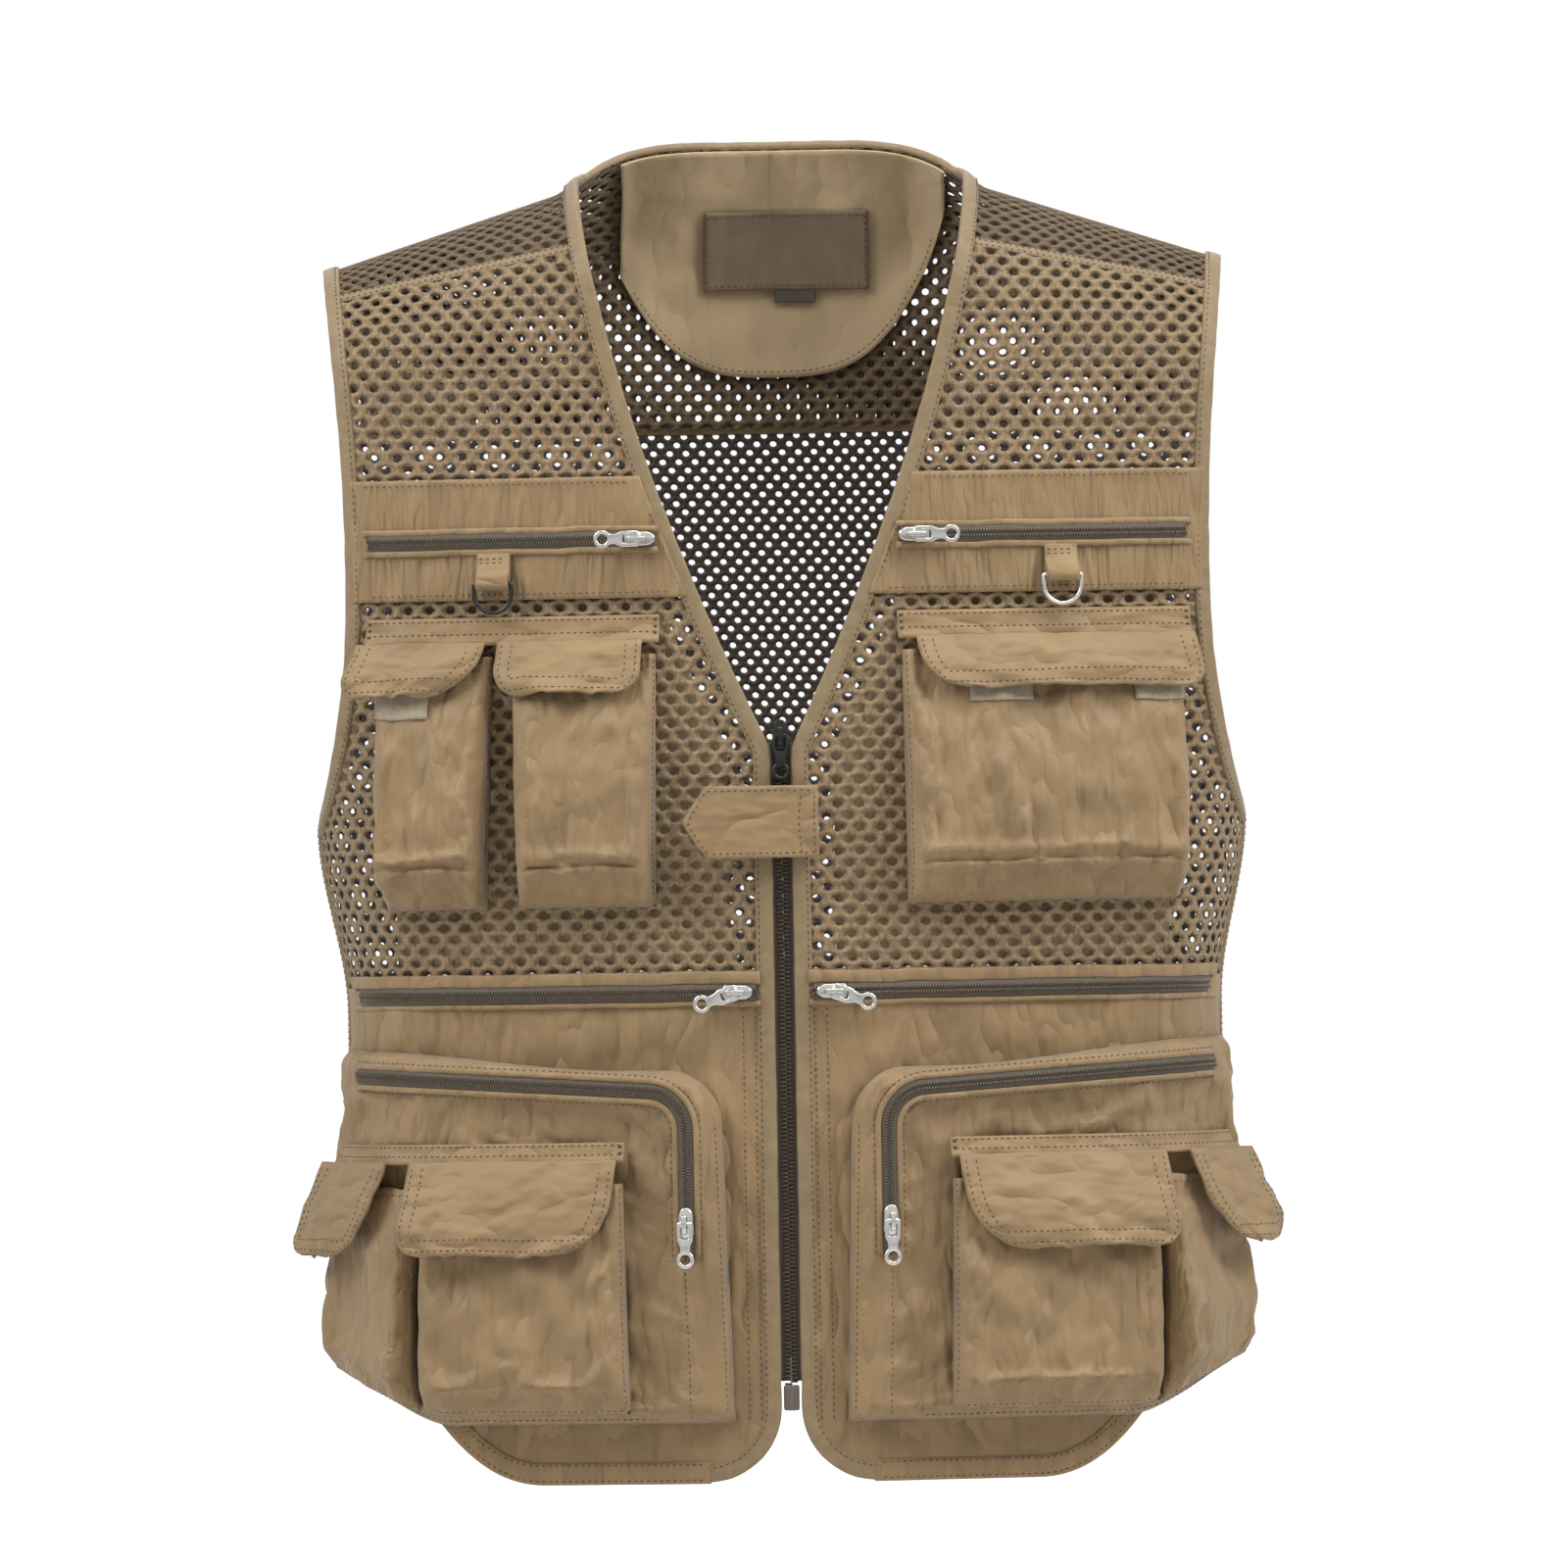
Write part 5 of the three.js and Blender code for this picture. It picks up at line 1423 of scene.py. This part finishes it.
# Rings, tab, label and small sewn parts
def dRing(side, name, metal, slot):
    place = seat(front, side * 143.5, -203.0, 8.3)
    outline = [(x, 0.0) for x in np.linspace(-9.0, 9.0, 9)]
    outline += arcPoints(9.0, -0.8, 0.8, 80, 0, 3) + arcPoints(0, -5.0, 9.8, 0, -180,
                                                               28) + arcPoints(-9.0, -0.8, 0.8, 180, 100, 3)
    path = np.array([(x, y, 0.0) for x, y in outline])
    up = np.tile([0.0, 0.0, 1.0], (len(path), 1))
    _, across = pathFrame(path, up, True)
    wire = [(1.2 * math.cos(a), 1.2 * math.sin(a)) for a in np.linspace(0, 2 * math.pi, 12, endpoint=False)]
    vertices, faces = sweep(path, across, up, wire, True)
    newObject(f"ring_{name}", outOf(place, vertices), faces, metal, f"d_ring_{name}", slot,
              (f"d_ring_{name}",))
    section = [(15.5, -3.4), (11.0, -2.6), (6.5, -0.2), (3.4, 2.4), (1.4, 3.1), (-0.8, 3.2), (-2.6, 2.0),
               (-3.3, 0.0),
               (-2.7, -1.9), (-1.0, -3.1), (1.6, -3.3), (6.0, -3.6), (12.0, -4.1)]
    half = 8.5
    grid = np.array([[(u * half, y, w) for u in np.linspace(-1, 1, 12)] for y,
                     w in resample(np.array(section), 1.0)])
    points = outOf(place, grid)
    clothPiece(f"loop_{name}", points, np.broadcast_to(place[1][:, 2], points.shape), 1.1, flapCloth,
               replaced=(f"d_ring_loop_{name}",))
    for y, w in ((12.8, -2.9), (10.6, -2.4)):
        line = outOf(place, [(u * 7.6, y, w) for u in np.linspace(-1, 1, 30)])
        seamThread.add(*stitches(line, np.tile(place[1][:, 2], (30, 1))))


def stormTab():
    place = seat(front, 16.5, -326.5, 5.2)
    rows, cols = 24, 44
    v = np.linspace(-1, 1, rows)[:, None] * np.ones((1, cols))
    u = np.ones((rows, 1)) * np.linspace(0, 1, cols)[None, :]
    tip = -68.0 + 12.0 * np.abs(v) ** 1.15
    x = mix(1.6, tip, u)
    soft = 0.7 * noise(x, v * 18.5, (16, 12), 131) * u
    lift = 2.6 + 0.8 * np.sin(math.pi * u) + soft - 0.8 * (1 - u) ** 6
    points = outOf(place, np.stack([x, 18.3 * v, lift], -1))
    facing = np.broadcast_to(place[1][:, 2], points.shape)
    clothPiece("tab_storm", points, facing, 1.5, flapCloth, body="storm_tab",
               replaced=("storm_tab",))
    up = outwardNormals(points, facing)
    threads = Bundle()
    for inset in (2.4,):
        q, p = inset / 36.6, inset / 68
        ends = ((np.linspace(0.03, 1 - p, 70), np.full(70, q)),
                (np.full(40, 1 - p), np.linspace(q, 1 - q, 40)),
                (np.linspace(1 - p, 0.03, 70), np.full(70, 1 - q)))
        for a, b in ends:
            threads.add(*stitches(sampleGrid(points, a, b), sampleGrid(up, a, b)))
    for share in (0.035, 0.15):
        a, b = np.full(40, share), np.linspace(0.06, 0.94, 40)
        threads.add(*stitches(sampleGrid(points, a, b), sampleGrid(up, a, b)))
    threads.make("thread_tab", threadCloth, body="storm_tab")


def onFacing(name, x0, x1, z0, z1, material, out, seed):
    v = np.linspace(0, 1, 24)[:, None] * np.ones((1, 44))
    x = np.linspace(x0, x1, 44)[None, :] * np.ones((24, 1))
    z = mix(z0, z1, v)
    points, normals = onBody(back, x, z, out - 0.5 * noise(x, z, (30, 20), seed))
    clothPiece(name, points, -normals, 0.6, material)
    for at in ((np.linspace(0.02, 0.98, 60), np.full(60, 0.06)),
               (np.linspace(0.02, 0.98, 60), np.full(60, 0.94)),
               (np.full(40, 0.02), np.linspace(0.06, 0.94, 40)),
               (np.full(40, 0.98), np.linspace(0.06, 0.94, 40))):
        seamThread.add(*stitches(sampleGrid(points, *at), sampleGrid(-normals, *at)))


def headerStrip(name, side, x0, x1, heights, outs, wrap=False):
    rows, cols = 8, max(20, int((x1 - x0) / 2))
    v = np.linspace(0, 1, rows)[:, None] * np.ones((1, cols))
    x = np.tile(spread(front, x0, x1, heights[0], cols), (rows, 1)) if wrap else (
        np.linspace(x0, x1, cols)[None, :] * np.ones((rows, 1)))
    z = mix(heights[0], heights[1], v)
    out = mix(outs(x, 0), outs(x, 1), v ** 1.6) + 0.5 * noise(x, z, (10, 6), 141) * v
    points, normals = onBody(front, side * x, z, out)
    clothPiece(name, points, normals, 1.0, flapCloth)
    up = outwardNormals(points, normals)
    for q in (0.14, 0.62):
        at = (np.linspace(0.01, 0.99, cols * 3), np.full(cols * 3, q))
        seamThread.add(*stitches(sampleGrid(points, *at), sampleGrid(up, *at)))
    for p in (0.012, 0.988):
        for k in (-0.004, 0.0, 0.004):
            at = (np.full(12, p + k), np.linspace(0.1, 0.95, 12))
            seamThread.add(*stitches(sampleGrid(points, *at), sampleGrid(up, *at)))


def hookStrip(name, pouch, shares, heights):
    points, up = pouchGrids[pouch]
    p = np.linspace(*shares, 16)[None, :] * np.ones((10, 1))
    q = np.linspace(*heights, 10)[:, None] * np.ones((1, 16))
    lifted = sampleGrid(points, p, q) + sampleGrid(up, p, q) * 1.3
    clothPiece(name, lifted, sampleGrid(up, p, q), 1.2, hookTape)


dRing(-1, "right", darkMetal, "dark_metal")
dRing(1, "left", brightMetal, "bright_metal")
stormTab()
onFacing("label_neck", -37.0, 51.0, -7.0, -50.0, labelCloth, -7.6, 151)
onFacing("tag_size", 1.0, 23.0, -47.0, -57.0, tapeCloth, -7.2, 152)
headerStrip("header_chest_right", -1, 60.0, 209.0, (-220.0, -234.0), lambda x, v: 2.6 + 3.6 * v + 0 * x)
headerStrip("header_chest_left", 1, 60.0, 209.0, (-220.0, -234.0), lambda x, v: 2.6 + 3.6 * v + 0 * x)
for side, name in ((-1, "right"), (1, "left")):
    headerStrip(f"header_cargo_{name}", side, 79.0, 217.0, (-488.0, -498.0),
                lambda x, v: cargoFace(x) + 1.4 + 2.9 * v, True)
hookStrip("hook_outer", "outer", (0.52, 0.97), (0.1, 0.235))
hookStrip("hook_left_inner", "left", (0.23, 0.46), (0.1, 0.205))
hookStrip("hook_left_outer", "left", (0.82, 0.985), (0.1, 0.205))
seamThread.make("thread_seams", threadCloth)
report("small parts")


# Light: a bright white room, with a soft box from each side and one above.
def areaLight(name, place, aim, size, power):
    data = bpy.data.lights.new(name, "AREA")
    data.shape, data.size, data.size_y, data.energy = "RECTANGLE", size[0], size[1], power
    lamp = bpy.data.objects.new(name, data)
    bpy.context.scene.collection.objects.link(lamp)
    lamp.location = place
    lamp.rotation_euler = (Vector(aim) - Vector(place)).to_track_quat("-Z", "Y").to_euler()


lights = {"left": 28.0, "right": 33.0, "top": 21.0, "behind": 4.0, "room": 0.17, "glint": 0.5}
areaLight("left", (-1.6, -0.85, 1.0), (0, -0.05, -0.2), (1.0, 1.2), lights["left"])
areaLight("right", (1.6, -0.85, 1.1), (0, -0.05, -0.2), (1.0, 1.2), lights["right"])
areaLight("top", (0.2, -0.9, 1.9), (0, 0, -0.3), (1.4, 1.0), lights["top"])
areaLight("behind", (0.0, 2.0, 0.6), (0, 0, -0.2), (1.6, 1.6), lights["behind"])

world = bpy.data.worlds.new("room")
bpy.context.scene.world = world
world.use_nodes = True
worldTree = world.node_tree
sky = worldTree.nodes["Background"]
sky.inputs["Color"].default_value = (1, 1, 1, 1)
path = worldTree.nodes.new("ShaderNodeLightPath")
seen = mathNode(worldTree, "MULTIPLY", path.outputs["Is Camera Ray"], 1.0 - lights["room"])
glint = mathNode(worldTree, "MULTIPLY", path.outputs["Is Glossy Ray"], lights["glint"])
seen = mathNode(worldTree, "ADD", seen, glint)
worldTree.links.new(mathNode(worldTree, "ADD", seen, lights["room"]), sky.inputs["Strength"])
bpy.context.scene.view_settings.view_transform = "Standard"

# A pale floor a little below the hem, bright enough to meet the room behind it.
floorLook = {"z": -0.76, "size": 30.0, "color": (0.8, 0.8, 0.8), "glow": 0.93}
bpy.ops.mesh.primitive_plane_add(size=floorLook["size"], location=(0, 0, floorLook["z"]))
floor = bpy.context.object
floor.name = "floor"
floorPaint = bpy.data.materials.new("floorPaint")
floorPaint.use_nodes = True
floorShader = floorPaint.node_tree.nodes["Principled BSDF"]
floorShader.inputs["Base Color"].default_value = (*floorLook["color"], 1)
floorShader.inputs["Roughness"].default_value = 0.9
floorShader.inputs["Emission Color"].default_value = (1, 1, 1, 1)
floorTree = floorPaint.node_tree
floorPath = floorTree.nodes.new("ShaderNodeLightPath")
shown = mathNode(floorTree, "MULTIPLY", floorPath.outputs["Is Camera Ray"], floorLook["glow"])
floorTree.links.new(shown, floorShader.inputs["Emission Strength"])
floor.data.materials.append(floorPaint)

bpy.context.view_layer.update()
report("done")
